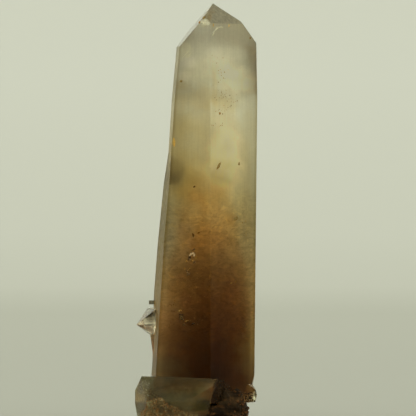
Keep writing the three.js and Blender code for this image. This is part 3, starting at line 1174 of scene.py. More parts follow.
class StrewTree:
    """Geometry Nodes tree that strews irregular grains over a carrier surface in patches."""

    SHADE = "shade"
    PATCH_DETAIL = 3.0
    WANDER_DETAIL = 1.0
    WAVES = 1.3
    NARROW = 0.8
    TILT = 0.7
    GROWTH_SEED = 7.0
    INPUTS = (("Density", "NodeSocketFloat"), ("Size", "NodeSocketFloat"), ("Spread", "NodeSocketFloat"),
              ("Flatness", "NodeSocketFloat"), ("Patch Scale", "NodeSocketFloat"),
              ("Bare", "NodeSocketFloat"), ("Full", "NodeSocketFloat"), ("Wander", "NodeSocketFloat"),
              ("Seed", "NodeSocketInt"), ("Material", "NodeSocketMaterial"))

    def __init__(self, name: str = "strewn_grains") -> None:
        """Build the tree once; every strewing uses it."""
        self.tree, self.sockets = new_tree(name, self.INPUTS)
        self._wire()

    def _wire(self) -> None:
        """Add the nodes: patches, points, grains, wander, and the material."""
        net = Wiring(self.tree)
        source = net.add("NodeGroupInput").outputs
        stored, turned = self._points(net, source)
        grain = net.add("GeometryNodeMeshIcoSphere")
        net.feed(grain, Radius=net.math("MULTIPLY", source["Size"], 0.5), Subdivisions=1)
        growth = net.add("FunctionNodeRandomValue", data_type="FLOAT")
        net.join(self._float_input(growth, "Min"), net.math("SUBTRACT", 1.0, source["Spread"]))
        net.join(self._float_input(growth, "Max"), net.math("ADD", 1.0, source["Spread"]))
        net.join(self._float_input(growth, "Seed"), net.math("ADD", source["Seed"], self.GROWTH_SEED))
        size = self._float_output(growth)
        scale = net.feed(net.add("ShaderNodeCombineXYZ"), X=size, Y=net.math("MULTIPLY", size, self.NARROW),
                         Z=net.math("MULTIPLY", size, source["Flatness"]))
        placed = net.add("GeometryNodeInstanceOnPoints")
        net.feed(placed, Points=stored, Instance=grain.outputs["Mesh"], Rotation=turned,
                 Scale=scale.outputs[0])
        real = net.feed(net.add("GeometryNodeRealizeInstances"), Geometry=placed.outputs[0])
        wander = net.add("ShaderNodeTexNoise")
        net.feed(wander, Scale=net.math("DIVIDE", self.WAVES, source["Size"]), Detail=self.WANDER_DETAIL)
        centred = net.vector_math("SUBTRACT", wander.outputs["Color"], (0.5, 0.5, 0.5))
        offset = net.scaled(centred, net.math("MULTIPLY", source["Size"], source["Wander"]))
        moved = net.feed(net.add("GeometryNodeSetPosition"), Geometry=real.outputs[0], Offset=offset)
        dressed = net.add("GeometryNodeSetMaterial")
        net.feed(dressed, Geometry=moved.outputs[0], Material=source["Material"])
        net.feed(net.add("NodeGroupOutput"), Geometry=dressed.outputs[0])

    def _points(self, net: Wiring, source: bpy.types.bpy_prop_collection) -> tuple[Socket, Socket]:
        """Add the nodes that put points on the carrier in patches, each with its shade and turn.

        Args:
            net: The tree's wiring.
            source: The sockets of the tree's named inputs.

        Returns:
            The points, and the turn of the grain on each.
        """
        patches = net.add("ShaderNodeTexNoise")
        net.feed(patches, Vector=net.add("GeometryNodeInputPosition").outputs[0],
                 Scale=source["Patch Scale"], Detail=self.PATCH_DETAIL)
        cover = net.span(patches.outputs[0], source["Bare"], source["Full"])
        points = net.add("GeometryNodeDistributePointsOnFaces")
        net.feed(points, Mesh=source["Geometry"], Seed=source["Seed"],
                 Density=net.math("MULTIPLY", source["Density"], cover))
        shade = net.add("FunctionNodeRandomValue", data_type="FLOAT")
        net.join(self._float_input(shade, "Seed"), source["Seed"])
        stored = net.add("GeometryNodeStoreNamedAttribute", data_type="FLOAT", domain="POINT")
        net.feed(stored, Geometry=points.outputs["Points"], Name=self.SHADE)
        net.join(self._float_input(stored, "Value"), self._float_output(shade))
        spin = net.add("FunctionNodeRandomValue", data_type="FLOAT_VECTOR")
        spin.inputs["Max"].default_value = (self.TILT, self.TILT, math.tau)
        euler = net.join_all(net.add("FunctionNodeEulerToRotation"), spin.outputs["Value"])
        turned = net.add("FunctionNodeRotateRotation", rotation_space="LOCAL")
        return stored.outputs[0], net.join_all(turned, points.outputs["Rotation"], euler)

    @staticmethod
    def _float_input(node: bpy.types.Node, label: str) -> bpy.types.NodeSocket:
        """Return the enabled input of that name, because a node hides those of other data types."""
        return next(socket for socket in node.inputs if socket.name == label and socket.enabled)

    @staticmethod
    def _float_output(node: bpy.types.Node) -> bpy.types.NodeSocket:
        """Return the node's enabled output."""
        return next(socket for socket in node.outputs if socket.enabled)

    def strew(self, carrier: bpy.types.Object, name: str, how: Strewing,
              material: bpy.types.Material) -> bpy.types.Object:
        """Strew grains over a carrier.

        Args:
            carrier: The surface, which is removed.
            name: The new piece's name.
            how: Numbers, sizes and patches.
            material: The grains' material.

        Returns:
            The grains as a plain mesh piece.
        """
        values = {"Density": how.per_square_mm / MM**2, "Size": how.size * MM, "Spread": how.spread,
                  "Flatness": how.flatness, "Patch Scale": 1.0 / (how.patch * MM), "Bare": how.bare,
                  "Full": how.full, "Wander": how.wander, "Seed": how.seed, "Material": material}
        piece = bpy.data.objects.new(name, carrier.data.copy())
        bpy.context.scene.collection.objects.link(piece)
        add_nodes(piece, self.tree, self.sockets, values)
        settle(piece)
        bpy.data.objects.remove(carrier)
        return piece


# ---------------------------------------------------------------------------------------------
# Sub-assemblies
# ---------------------------------------------------------------------------------------------


@dataclass(frozen=True)
class Box:
    """A box in crystal millimetres."""

    low: Place
    high: Place

    def holds(self, place: Vector) -> bool:
        """Return whether a place in crystal millimetres lies inside."""
        return all(low <= each <= high for low, each, high in zip(self.low, place, self.high))


@dataclass(frozen=True)
class Chip:
    """A conchoidal chip: a lump that is cut out of the surface."""

    place: Place
    radii: Place
    turn: Place = (0.0, 0.0, 0.0)


@dataclass
class CrystalGroup:
    """The clear solid: main crystal, side crystal, foot crystal and flake in one closed skin."""

    TINTED = "tinted"
    TONE = "tone"
    WORN = 1

    form: CrystalForm
    finish: QuartzFinish = QuartzFinish()
    dull_facets: tuple[tuple[float, float, float], ...] = ((2.9, 101.7, 0.64),)
    left_face: float = 187.9
    left_match: float = 0.97
    left_above: float = 12.0
    left_frost: float = 2.6
    same_face: float = 0.997
    # The left face at the tip is darkened to damp its reflection, which is painted shade; the right and
    # back-right faces are darkened slightly.
    toned_faces: tuple[tuple[float, float, float], ...] = (
        (7.9, 0.0, 0.85), (67.9, 0.0, 0.95), (187.9, 38.2, 0.6),
    )
    # Painted shade on the worn edges: a little darker facing the front, much darker facing the sides, which
    # draws dark lines along the outlines.
    painted_edge_shade: tuple[float, float] = (0.9, 0.12)
    sideways: float = 0.6
    # The knob on the side crystal is darkened; the flake's top is darkened to damp its reflection, which is
    # painted shade.
    toned_parts: tuple[tuple[Box, float], ...] = (
        (Box((-16.5, -5.0, 29.2), (-13.2, 20.0, 32.5)), 0.28),
        (Box((9.9, 3.0, 8.6), (16.0, 14.0, 10.9)), 0.6),
    )
    edge: float = 0.14
    edge_segments: int = 2
    edge_angle: float = 9.0
    clear_parts: tuple[Box, ...] = (
        Box((-23.0, -9.0, 0.0), (2.6, 8.0, 12.4)),
        Box((-23.0, 0.0, 15.5), (-12.6, 20.0, 33.0)),
        Box((9.9, 3.0, 4.0), (16.0, 14.0, 10.9)),
    )
    chips: tuple[Chip, ...] = (
        Chip((-1.5, 0.6, 100.2), (1.0, 0.5, 0.8), (0.0, 20.0, 10.0)),
        Chip((0.9, 0.6, 97.6), (1.0, 0.2, 0.3), (0.0, -35.0, 0.0)),
        Chip((4.9, 3.5, 99.3), (0.9, 0.3, 0.28)),
        Chip((0.0, -0.1, 64.2), (0.35, 0.3, 0.8)),
        Chip((-9.6, 6.4, 70.0), (0.4, 0.5, 1.0)),
        Chip((-0.1, 0.0, 36.5), (0.3, 0.3, 0.9)),
    )
    conchoidal: Uneven = Uneven(0.35, 3.1, 3)

    def build(self) -> bpy.types.Object:
        """Build and dress the skin.

        Returns:
            The finished skin.
        """
        piece = piece_from(self.form.mesh.copy(), "crystal_group", self.finish.build(self.form.origin))
        bevel = piece.modifiers.new("worn edges", "BEVEL")
        bevel.width = self.edge * MM
        bevel.segments = self.edge_segments
        bevel.limit_method = "ANGLE"
        bevel.angle_limit = math.radians(self.edge_angle)
        bevel.material = self.WORN
        piece.data.materials.append(piece.data.materials[0])
        settle(piece)
        self._chip(piece)
        self._mark_tinted(piece)
        return keep(piece, Slot.QUARTZ, "quartz")

    def _chip(self, piece: bpy.types.Object) -> None:
        """Cut the chips out of the skin.

        Args:
            piece: The skin.
        """
        cutter = bmesh.new()
        for index, chip in enumerate(self.chips):
            turn = Euler(tuple(math.radians(each) for each in chip.turn)).to_matrix()
            lump(cutter, self.form.row(*chip.place), Vector(chip.radii) * MM, turn, self.conchoidal, index)
        tool = piece_from(cutter, "chips")
        cut = piece.modifiers.new("chips", "BOOLEAN")
        cut.operation = "DIFFERENCE"
        cut.solver = "EXACT"
        cut.object = tool
        settle(piece)
        bpy.data.objects.remove(tool)

    def _mark_tinted(self, piece: bpy.types.Object) -> None:
        """Keep on each corner whether it belongs to the smoky main crystal, and its face's tone, which holds
        painted shade on some faces, parts and worn edges.

        Args:
            piece: The skin.
        """
        mesh = piece.data
        tinted = mesh.attributes.new(self.TINTED, "FLOAT", "CORNER")
        tones = mesh.attributes.new(self.TONE, "FLOAT", "CORNER")
        toned = [(self.form.front(x, z)[1], tone) for x, z, tone in self.dull_facets]
        toned += [(heading(angle, rise), tone) for angle, rise, tone in self.toned_faces]
        left = heading(self.left_face)
        for face in mesh.polygons:
            centre = (face.center - self.form.origin) / MM
            to_left = face.normal.dot(left) > self.left_match
            on_side = any(part.holds(centre) for part in self.clear_parts)
            smoky = not on_side or (to_left and centre.z > self.left_above)
            # Toned faces and parts are darkened; on some of them this is painted shade.
            tone = next((tone for normal, tone in toned if face.normal.dot(normal) > self.same_face), 1.0)
            tone *= next((tone for part, tone in self.toned_parts if part.holds(centre)), 1.0)
            # Worn edges get painted shade, darkest where they face the sides.
            if face.material_index == self.WORN:
                tone *= self.painted_edge_shade[abs(face.normal.x) > self.sideways]
            for corner in face.loop_indices:
                tinted.data[corner].value = float(smoky) * (self.left_frost if to_left else 1.0)
                tones.data[corner].value = tone
            face.material_index = 0
        mesh.materials.pop(index=self.WORN)


@dataclass(frozen=True)
class Zone:
    """One colour zone: a closed form that follows the prism and ends in a dome."""

    finish: ZoneFinish
    foot: float
    top: float
    share: float
    dome: float
    shift: tuple[float, float] = (0.0, 0.0)
    fullness: float = 1.7


@dataclass
class ColourZones:
    """Smoke and honey zones sealed in the main crystal, one inside another."""

    form: CrystalForm
    rings: int = 22
    least: float = 0.0008
    uneven: float = 0.05
    wave: float = 6.0
    seed_step: float = 5.0
    zones: tuple[Zone, ...] = (
        Zone(ZoneFinish("honey_zone", (0.78, 0.56, 0.1), 26.0), 9.0, 88.0, 0.82, 26.0),
        Zone(ZoneFinish("amber_zone", (0.8, 0.5, 0.1), 42.0), 10.0, 65.0, 0.7, 28.0, (-1.0, -0.6)),
        Zone(ZoneFinish("smoke_zone_high", (0.4, 0.26, 0.14), 42.0), 8.0, 52.0, 0.8, 16.0),
        Zone(ZoneFinish("smoke_zone_middle", (0.4, 0.24, 0.1), 42.0), 7.6, 44.0, 0.84, 14.0),
        Zone(ZoneFinish("smoke_zone_low", (0.4, 0.22, 0.08), 42.0), 7.2, 34.0, 0.88, 12.0),
    )

    def build(self) -> list[bpy.types.Object]:
        """Return the zones as separate closed pieces."""
        return [keep(self._form_zone(zone, index), Slot.QUARTZ) for index, zone in enumerate(self.zones)]

    def _form_zone(self, zone: Zone, index: int) -> bpy.types.Object:
        """Loft one zone through outlines of the prism, with a slightly uneven surface.

        Args:
            zone: The zone's sizes and finish.
            index: The zone's number, which changes its unevenness.

        Returns:
            The zone's closed piece.
        """
        shape = bmesh.new()
        loops = []
        for step in range(self.rings):
            rise = step / (self.rings - 1)
            z = zone.foot + (zone.top - zone.foot) * math.sin(rise * math.pi / 2)
            reach = min(1.0, max((zone.top - z) / zone.dome, self.least))
            share = zone.share * (1.0 - (1.0 - reach) ** zone.fullness)
            centre = self.form.row(*self.form.AXIS, z)
            drift = Vector((*zone.shift, 0.0)) * MM * rise
            loop = []
            for place in self.form.outline(z, share):
                shift = Vector((index * self.seed_step, 0.0, 0.0))
                swell = 1.0 + self.uneven * noise.noise(place * (1.0 / (self.wave * MM)) + shift)
                loop.append(shape.verts.new(centre + (place - centre) * swell + drift))
            loops.append(loop)
        for lower, upper in zip(loops, loops[1:]):
            for corner in range(len(lower)):
                after = (corner + 1) % len(lower)
                shape.faces.new((lower[corner], lower[after], upper[after], upper[corner]))
        shape.faces.new(list(reversed(loops[0])))
        shape.faces.new(loops[-1])
        return piece_from(shape, zone.finish.name, zone.finish.build(), smooth=True)


@dataclass(frozen=True)
class Veil:
    """One veil: a wavy sheet across the crystal between two heights."""

    name: str
    centre: Place
    size: tuple[float, float]
    lean: float
    turn: float
    finish: VeilFinish


@dataclass
class Veils:
    """Milky veils of fluid inclusions near the tip, round the middle and in the foot crystal."""

    FADE = "fade"

    form: CrystalForm
    step: float = 0.7
    wave: float = 1.6
    wave_length: float = 7.0
    seed_step: float = 9.0
    margin: float = 2.2
    border: float = 1.6
    clearance: float = 0.4
    thickness: float = 0.04
    veils: tuple[Veil, ...] = (
        Veil("veil_puff", (3.2, 7.0, 88.5), (20.0, 18.0), 14.0, 24.0,
             VeilFinish("puff_veil", (0.98, 0.97, 0.88), 5.0, 0.2, 0.5, 0.6)),
        Veil("veil_left", (-5.0, 8.0, 89.0), (14.0, 12.0), 10.0, -12.0,
             VeilFinish("left_veil", (0.98, 0.96, 0.86), 4.0, 0.25, 0.6, 0.5)),
        Veil("veil_tip", (0.0, 12.0, 96.0), (30.0, 28.0), -20.0, 0.0,
             VeilFinish("tip_cloud", (0.97, 0.95, 0.84), 7.0, 0.26, 0.56, 0.5)),
        Veil("veil_back", (0.0, 17.0, 86.0), (32.0, 34.0), 8.0, 14.0,
             VeilFinish("back_cloud", (0.97, 0.95, 0.82), 8.0, 0.36, 0.62, 0.35)),
        Veil("veil_middle", (-3.0, 9.0, 66.0), (24.0, 38.0), 8.0, -12.0,
             VeilFinish("middle_veil", (0.95, 0.86, 0.6), 7.0, 0.32, 0.6, 0.5)),
        Veil("veil_amber", (-1.6, 6.5, 50.5), (21.0, 27.0), 6.0, 8.0,
             VeilFinish("amber_veil", (0.98, 0.66, 0.24), 9.0, 0.26, 0.74, 0.5)),
        Veil("veil_foot", (-8.0, -2.2, 6.0), (22.0, 12.0), 0.0, 0.0,
             VeilFinish("foot_veil", (0.3, 0.26, 0.16), 5.0, 0.2, 0.6, 0.55)),
    )

    def build(self) -> list[bpy.types.Object]:
        """Return the veils as separate pieces."""
        return [keep(self._sheet(veil, index), Slot.QUARTZ) for index, veil in enumerate(self.veils)]

    def _inside(self, place: Vector) -> float:
        """Measure how deep a place lies in the crystal.

        Args:
            place: The place in metres.

        Returns:
            The depth in metres, below zero outside.
        """
        nearest, normal, _, _ = self.form.tree.find_nearest(place)
        depth = (nearest - place).length
        return depth if (place - nearest).dot(normal) < 0.0 else -depth

    def _sheet(self, veil: Veil, index: int) -> bpy.types.Object:
        """Make a wavy sheet, trimmed to the inside of the crystal and faded towards its skin.

        Args:
            veil: The veil's place, sizes and finish.
            index: The veil's number, which changes its waves.

        Returns:
            The veil's thin closed piece.
        """
        across, along = (max(2, round(length / self.step)) for length in veil.size)
        turn = Euler((math.radians(veil.lean), 0.0, math.radians(veil.turn))).to_matrix()
        shape = bmesh.new()
        fade = shape.verts.layers.float.new(self.FADE)
        grid = []
        depths = {}
        for row in range(along + 1):
            line = []
            for column in range(across + 1):
                u = (column / across - 0.5) * veil.size[0]
                v = (row / along - 0.5) * veil.size[1]
                spot = Vector((u / self.wave_length, v / self.wave_length, index * self.seed_step))
                bend = self.wave * noise.noise(spot)
                place = self.form.row(*veil.centre) + turn @ Vector((u, bend, v)) * MM
                vertex = shape.verts.new(place)
                depths[vertex] = self._inside(place)
                skin = min(1.0, max(0.0, depths[vertex] / (self.margin * MM)))
                border = max(0.0, 1.0 - math.hypot(2.0 * u / veil.size[0], 2.0 * v / veil.size[1]))
                vertex[fade] = skin * eased(min(1.0, border * self.border))
                line.append(vertex)
            grid.append(line)
        for lower, upper in zip(grid, grid[1:]):
            for column in range(across):
                corners = (lower[column], lower[column + 1], upper[column + 1], upper[column])
                if min(depths[corner] for corner in corners) > self.clearance * MM:
                    shape.faces.new(corners)
        loose = [vertex for vertex in shape.verts if not vertex.link_faces]
        bmesh.ops.delete(shape, geom=loose, context="VERTS")
        bmesh.ops.solidify(shape, geom=shape.faces[:], thickness=self.thickness * MM)
        bmesh.ops.recalc_face_normals(shape, faces=shape.faces[:])
        return piece_from(shape, veil.name, veil.finish.build(), smooth=True)


@dataclass(frozen=True)
class Mark:
    """One small inclusion, surface mark or painted highlight, seen from the front."""

    kind: Speck
    x: float
    z: float
    width: float
    height: float
    lean: float = 0.0
    depth: float = 0.1
    thick: float = 0.12


@dataclass
class Inclusions:
    """Flakes, fragments, dots and scratches in and on the front faces, and painted highlights and glints on
    them.
    """

    form: CrystalForm
    sunk: float = 0.1
    swell: float = 1.5
    jagged: Uneven = Uneven(0.6, 1.3, 2)
    marks: tuple[Mark, ...] = (
        # Painted highlights on the flake.
        Mark(Speck.WHITE, -4.8, 42.5, 0.85, 0.32, 36.0, 0.0, 0.08),
        Mark(Speck.WHITE, -4.35, 42.75, 0.5, 0.3, 10.0, 0.0, 0.08),
        Mark(Speck.WHITE, -4.05, 42.3, 0.25, 0.6, -8.0, 0.0, 0.08),
        Mark(Speck.BLACK, -5.15, 41.75, 0.6, 0.38, 36.0, 0.0),
        Mark(Speck.BROWN, -5.4, 41.3, 0.35, 0.3, 0.0, 0.0),
        Mark(Speck.PALE, -5.05, 41.2, 0.3, 0.16, 20.0, 0.0, 0.08),
        Mark(Speck.BROWN, -4.0, 40.5, 0.45, 0.42, 20.0, 0.0),
        Mark(Speck.AMBER, -4.5, 40.9, 0.6, 0.14, -25.0, 0.0, 0.06),
        Mark(Speck.AMBER, -5.9, 40.8, 0.16, 0.55, 20.0, 0.0, 0.06),
        Mark(Speck.AMBER, -3.6, 41.5, 0.14, 0.6, -15.0, 0.0, 0.06),
        Mark(Speck.BROWN, -4.15, 43.65, 0.5, 0.28, 32.0, 0.0),
        Mark(Speck.BROWN, -5.8, 38.3, 0.6, 0.2, -35.0, 0.0),
        Mark(Speck.BROWN, -5.45, 37.5, 0.62, 0.45, 30.0, 0.0),
        Mark(Speck.PALE, -5.8, 37.95, 0.3, 0.16, 20.0, 0.0, 0.08),
        Mark(Speck.AMBER, -6.35, 39.0, 0.24, 0.2, 0.0, 0.0, 0.06),
        Mark(Speck.AMBER, -5.2, 38.9, 0.5, 0.14, 40.0, 0.0, 0.06),
        # Painted glints: a bright yellow spot near the dark stone.
        Mark(Speck.PAINTED_GLINT, -7.85, 28.4, 0.28, 0.26, 0.0, 0.0, 0.06),
        Mark(Speck.AMBER, -7.4, 28.6, 0.3, 0.2, 0.0, 0.0, 0.06),
        Mark(Speck.UMBER, -7.2, 26.8, 1.0, 0.85, -20.0, 0.3, 0.06),
        Mark(Speck.BLACK, -7.3, 27.5, 0.9, 0.2, -10.0, 0.0),
        # Painted highlight in the middle of the dark stone.
        Mark(Speck.PAINTED_DULL_HIGHLIGHT, -7.25, 26.95, 0.55, 0.22, -15.0, 0.0, 0.08),
        Mark(Speck.BLACK, -6.9, 26.3, 0.8, 0.2, -25.0, 0.0),
        Mark(Speck.AMBER, -5.9, 25.9, 0.7, 0.12, 20.0, 0.0, 0.06),
        Mark(Speck.BROWN, -6.6, 25.0, 0.5, 0.3, 30.0, 0.0),
        Mark(Speck.BLACK, -4.3, 25.3, 0.7, 0.26, 10.0, 0.0),
        Mark(Speck.UMBER, -4.3, 47.3, 0.3, 0.7, 10.0, 0.0, 0.08),
        Mark(Speck.UMBER, -2.9, 47.9, 0.5, 0.18, 25.0, 0.0, 0.08),
        Mark(Speck.BROWN, -4.0, 59.3, 0.5, 0.3, 15.0, 0.05),
        Mark(Speck.AMBER, 2.3, 77.5, 0.4, 0.4, 0.0, 0.05),
        Mark(Speck.SMOKE, -7.3, 85.5, 0.5, 0.4, 0.0, 0.05),
        Mark(Speck.AMBER, -2.7, 100.1, 0.4, 0.5, 0.0, 0.05),
        Mark(Speck.FROST, -1.6, 100.3, 1.5, 1.1, 30.0, 0.0, 0.2),
        Mark(Speck.FROST, -0.9, 99.9, 1.2, 0.8, -15.0, 0.0, 0.2),
        Mark(Speck.FROST, -1.8, 99.3, 1.0, 0.5, 10.0, 0.1),
        Mark(Speck.FROST, 2.7, 98.9, 0.8, 0.3, 4.0, 0.1),
        Mark(Speck.FROST, 1.8, 98.7, 0.7, 0.2, 35.0, 0.1),
        Mark(Speck.SMOKE, -1.6, 101.3, 0.5, 0.7, -30.0, 0.1),
        # Painted glints near the tip.
        Mark(Speck.PAINTED_GLINT, 4.6, 99.4, 0.2, 0.6, 0.0, 0.1, 0.06),
        Mark(Speck.PAINTED_GLINT, 0.7, 99.4, 0.2, 0.6, 0.0, 0.1, 0.06),
        Mark(Speck.AMBER, 9.9, 96.4, 0.3, 0.3, 0.0, 0.1),
        Mark(Speck.FROST, 1.0, 97.8, 0.2, 2.2, -32.0, 0.0, 0.08),
        Mark(Speck.FROST, -5.9, 92.5, 0.14, 2.2, -45.0, 0.3, 0.06),
        Mark(Speck.FROST, -5.2, 92.1, 0.12, 1.4, -45.0, 0.3, 0.06),
        Mark(Speck.SMOKE, 7.1, 65.0, 0.35, 0.5, 0.0, 0.1),
        # Painted glints on the left edge.
        Mark(Speck.PAINTED_GLINT, -9.1, 70.4, 0.5, 1.4, 0.0, 0.15),
        Mark(Speck.AMBER, 5.2, 35.3, 0.5, 0.14, 20.0, 0.0, 0.06),
        Mark(Speck.AMBER, 6.3, 35.6, 0.14, 0.5, -30.0, 0.0, 0.06),
        Mark(Speck.SMOKE, 2.0, 64.4, 0.45, 1.7, -35.0, 0.5),
        Mark(Speck.SMOKE, 6.3, 51.4, 0.9, 0.6, 30.0, 0.3),
    )

    def build(self) -> list[bpy.types.Object]:
        """Build the marks.

        Returns:
            One piece for each kind of mark.
        """
        pieces = []
        for kind in Speck:
            shape = bmesh.new()
            for index, mark in enumerate(self.marks):
                if mark.kind is kind:
                    self._add(shape, mark, index)
            finish = kind.value
            pieces.append(keep(piece_from(shape, f"marks_{finish.name}", finish.build()), Slot.QUARTZ))
        return pieces

    def _add(self, shape: bmesh.types.BMesh, mark: Mark, index: int) -> None:
        """Add one mark, turned to lie along the face that it is in.

        Args:
            shape: The bmesh in metres.
            mark: The mark's kind, place and sizes.
            index: The mark's number, which changes its form.
        """
        place, normal = self.form.front(mark.x, mark.z)
        up = Vector((0.0, 0.0, 1.0))
        side = normal.cross(up).normalized() * -1.0
        rise = side.cross(normal).normalized() * -1.0
        turn = Matrix((side, rise, normal)).transposed() @ Matrix.Rotation(math.radians(mark.lean), 3, "Z")
        centre = place - normal * (mark.depth * self.sunk) * MM
        radii = Vector((mark.width, mark.height, mark.thick * 2.0)) * (self.swell / 2 * MM)
        lump(shape, centre, radii, turn, self.jagged, index)


@dataclass
class Rock:
    """The iron-stained rock that the crystals sit in.

    Lumps, grit, crumbs and ledges each have a size and a depth in millimetres, and a mean that keeps
    the rock's surface where it is on average.
    """

    INPUTS = (("Lump Scale", "NodeSocketFloat"), ("Lump Depth", "NodeSocketFloat"),
              ("Grit Scale", "NodeSocketFloat"), ("Grit Depth", "NodeSocketFloat"),
              ("Crumb Scale", "NodeSocketFloat"), ("Crumb Depth", "NodeSocketFloat"),
              ("Ledge Height", "NodeSocketFloat"), ("Ledge Depth", "NodeSocketFloat"),
              ("Material", "NodeSocketMaterial"))

    form: CrystalForm
    node: bpy.types.Object
    finish: RockFinish = RockFinish()
    voxel: float = 0.27
    lumps: tuple[float, float] = (3.2, 0.9)
    grit: tuple[float, float] = (0.8, 0.25)
    crumb: tuple[float, float] = (1.3, 0.6)
    ledge: tuple[float, float] = (1.7, 0.35)
    lump_mean: float = 0.6
    grit_mean: float = 0.55
    crumb_mean: float = 0.3
    ledge_mean: float = 0.8
    detail: float = 3.0
    sway: float = 4.0
    sway_share: float = 0.5
    smooth_foot: tuple[float, float] = (0.1, 1.2)

    def build(self) -> bpy.types.Object:
        """Build and dress the rock.

        Returns:
            The rock with its relief.
        """
        shape = bmesh.new()
        shape.from_mesh(self.node.data)
        bmesh.ops.remove_doubles(shape, verts=shape.verts, dist=CrystalForm.SAME_PLACE * MM)
        piece = piece_from(shape, "rock", self.finish.build(self.form.origin), smooth=True)
        remesh = piece.modifiers.new("grain", "REMESH")
        remesh.mode = "VOXEL"
        remesh.voxel_size = self.voxel * MM
        remesh.use_smooth_shade = True
        values = {"Lump Scale": 1.0 / (self.lumps[0] * MM), "Lump Depth": self.lumps[1] * MM,
                  "Grit Scale": 1.0 / (self.grit[0] * MM), "Grit Depth": self.grit[1] * MM,
                  "Crumb Scale": 1.0 / (self.crumb[0] * MM), "Crumb Depth": self.crumb[1] * MM,
                  "Ledge Height": self.ledge[0] * MM, "Ledge Depth": self.ledge[1] * MM,
                  "Material": piece.data.materials[0]}
        tree, sockets = new_tree("rock_relief", self.INPUTS)
        self._wire(Wiring(tree))
        add_nodes(piece, tree, sockets, values)
        settle(piece)
        return keep(piece, Slot.MATRIX, "matrix")

    def _wire(self, net: Wiring) -> None:
        """Add the nodes that roughen the rock above its flat foot.

        Args:
            net: The wiring of an empty tree with the named inputs.
        """
        source = net.add("NodeGroupInput").outputs
        where = net.add("GeometryNodeInputPosition").outputs[0]
        height = net.feed(net.add("ShaderNodeSeparateXYZ"), Vector=where).outputs["Z"]
        lumps = net.add("ShaderNodeTexNoise")
        net.feed(lumps, Vector=where, Scale=source["Lump Scale"], Detail=self.detail)
        grit = net.add("ShaderNodeTexNoise")
        net.feed(grit, Vector=where, Scale=source["Grit Scale"], Detail=self.detail)
        crumbs = net.add("ShaderNodeTexVoronoi", distance="CHEBYCHEV")
        net.feed(crumbs, Vector=where, Scale=source["Crumb Scale"])
        sway = net.add("ShaderNodeTexNoise")
        net.feed(sway, Vector=where, Scale=net.math("MULTIPLY", source["Lump Scale"], self.sway_share))
        level = net.math("ADD", height, net.math("MULTIPLY", sway.outputs[0], self.sway * MM))
        tread = net.math("FRACT", net.math("DIVIDE", level, source["Ledge Height"]))
        parts = (
            (net.math("SUBTRACT", lumps.outputs[0], self.lump_mean), "Lump Depth"),
            (net.math("SUBTRACT", grit.outputs[0], self.grit_mean), "Grit Depth"),
            (net.math("SUBTRACT", self.crumb_mean, crumbs.outputs["Distance"]), "Crumb Depth"),
            (net.math("SUBTRACT", tread, self.ledge_mean), "Ledge Depth"),
        )
        total = net.math("MULTIPLY", parts[0][0], source[parts[0][1]])
        for part, depth in parts[1:]:
            total = net.math("ADD", total, net.math("MULTIPLY", part, source[depth]))
        total = net.math("MULTIPLY", total, net.span(height, *(each * MM for each in self.smooth_foot)))
        offset = net.scaled(net.add("GeometryNodeInputNormal").outputs[0], total)
        moved = net.feed(net.add("GeometryNodeSetPosition"), Geometry=source["Geometry"], Offset=offset)
        real = net.feed(net.add("GeometryNodeRealizeInstances"), Geometry=moved.outputs[0])
        dressed = net.add("GeometryNodeSetMaterial")
        net.feed(dressed, Geometry=real.outputs[0], Material=source["Material"])
        net.feed(net.add("NodeGroupOutput"), Geometry=dressed.outputs[0])


@dataclass(frozen=True)
class Patch:
    """Grains strewn over one patch of the front."""

    name: str
    edge: tuple[tuple[float, float], ...]
    how: Strewing
    finish: CrumbFinish
    slot: Slot


RUST = ((0.018, 0.01, 0.004), (0.045, 0.022, 0.008), (0.1, 0.038, 0.011), (0.14, 0.068, 0.022))
OCHRE = ((0.09, 0.05, 0.02), (0.2, 0.12, 0.05), (0.34, 0.13, 0.025), (0.27, 0.19, 0.085),
         (0.36, 0.27, 0.13))
DUST = ((0.55, 0.4, 0.2), (0.72, 0.54, 0.28), (0.9, 0.72, 0.44))
PALE = ((0.12, 0.1, 0.07), (0.28, 0.25, 0.18), (0.45, 0.42, 0.32))
AMBER = ((0.36, 0.2, 0.06), (0.5, 0.31, 0.1), (0.66, 0.46, 0.18))
DARK = ((0.014, 0.008, 0.003), (0.028, 0.015, 0.0055), (0.055, 0.026, 0.0085), (0.08, 0.042, 0.014))


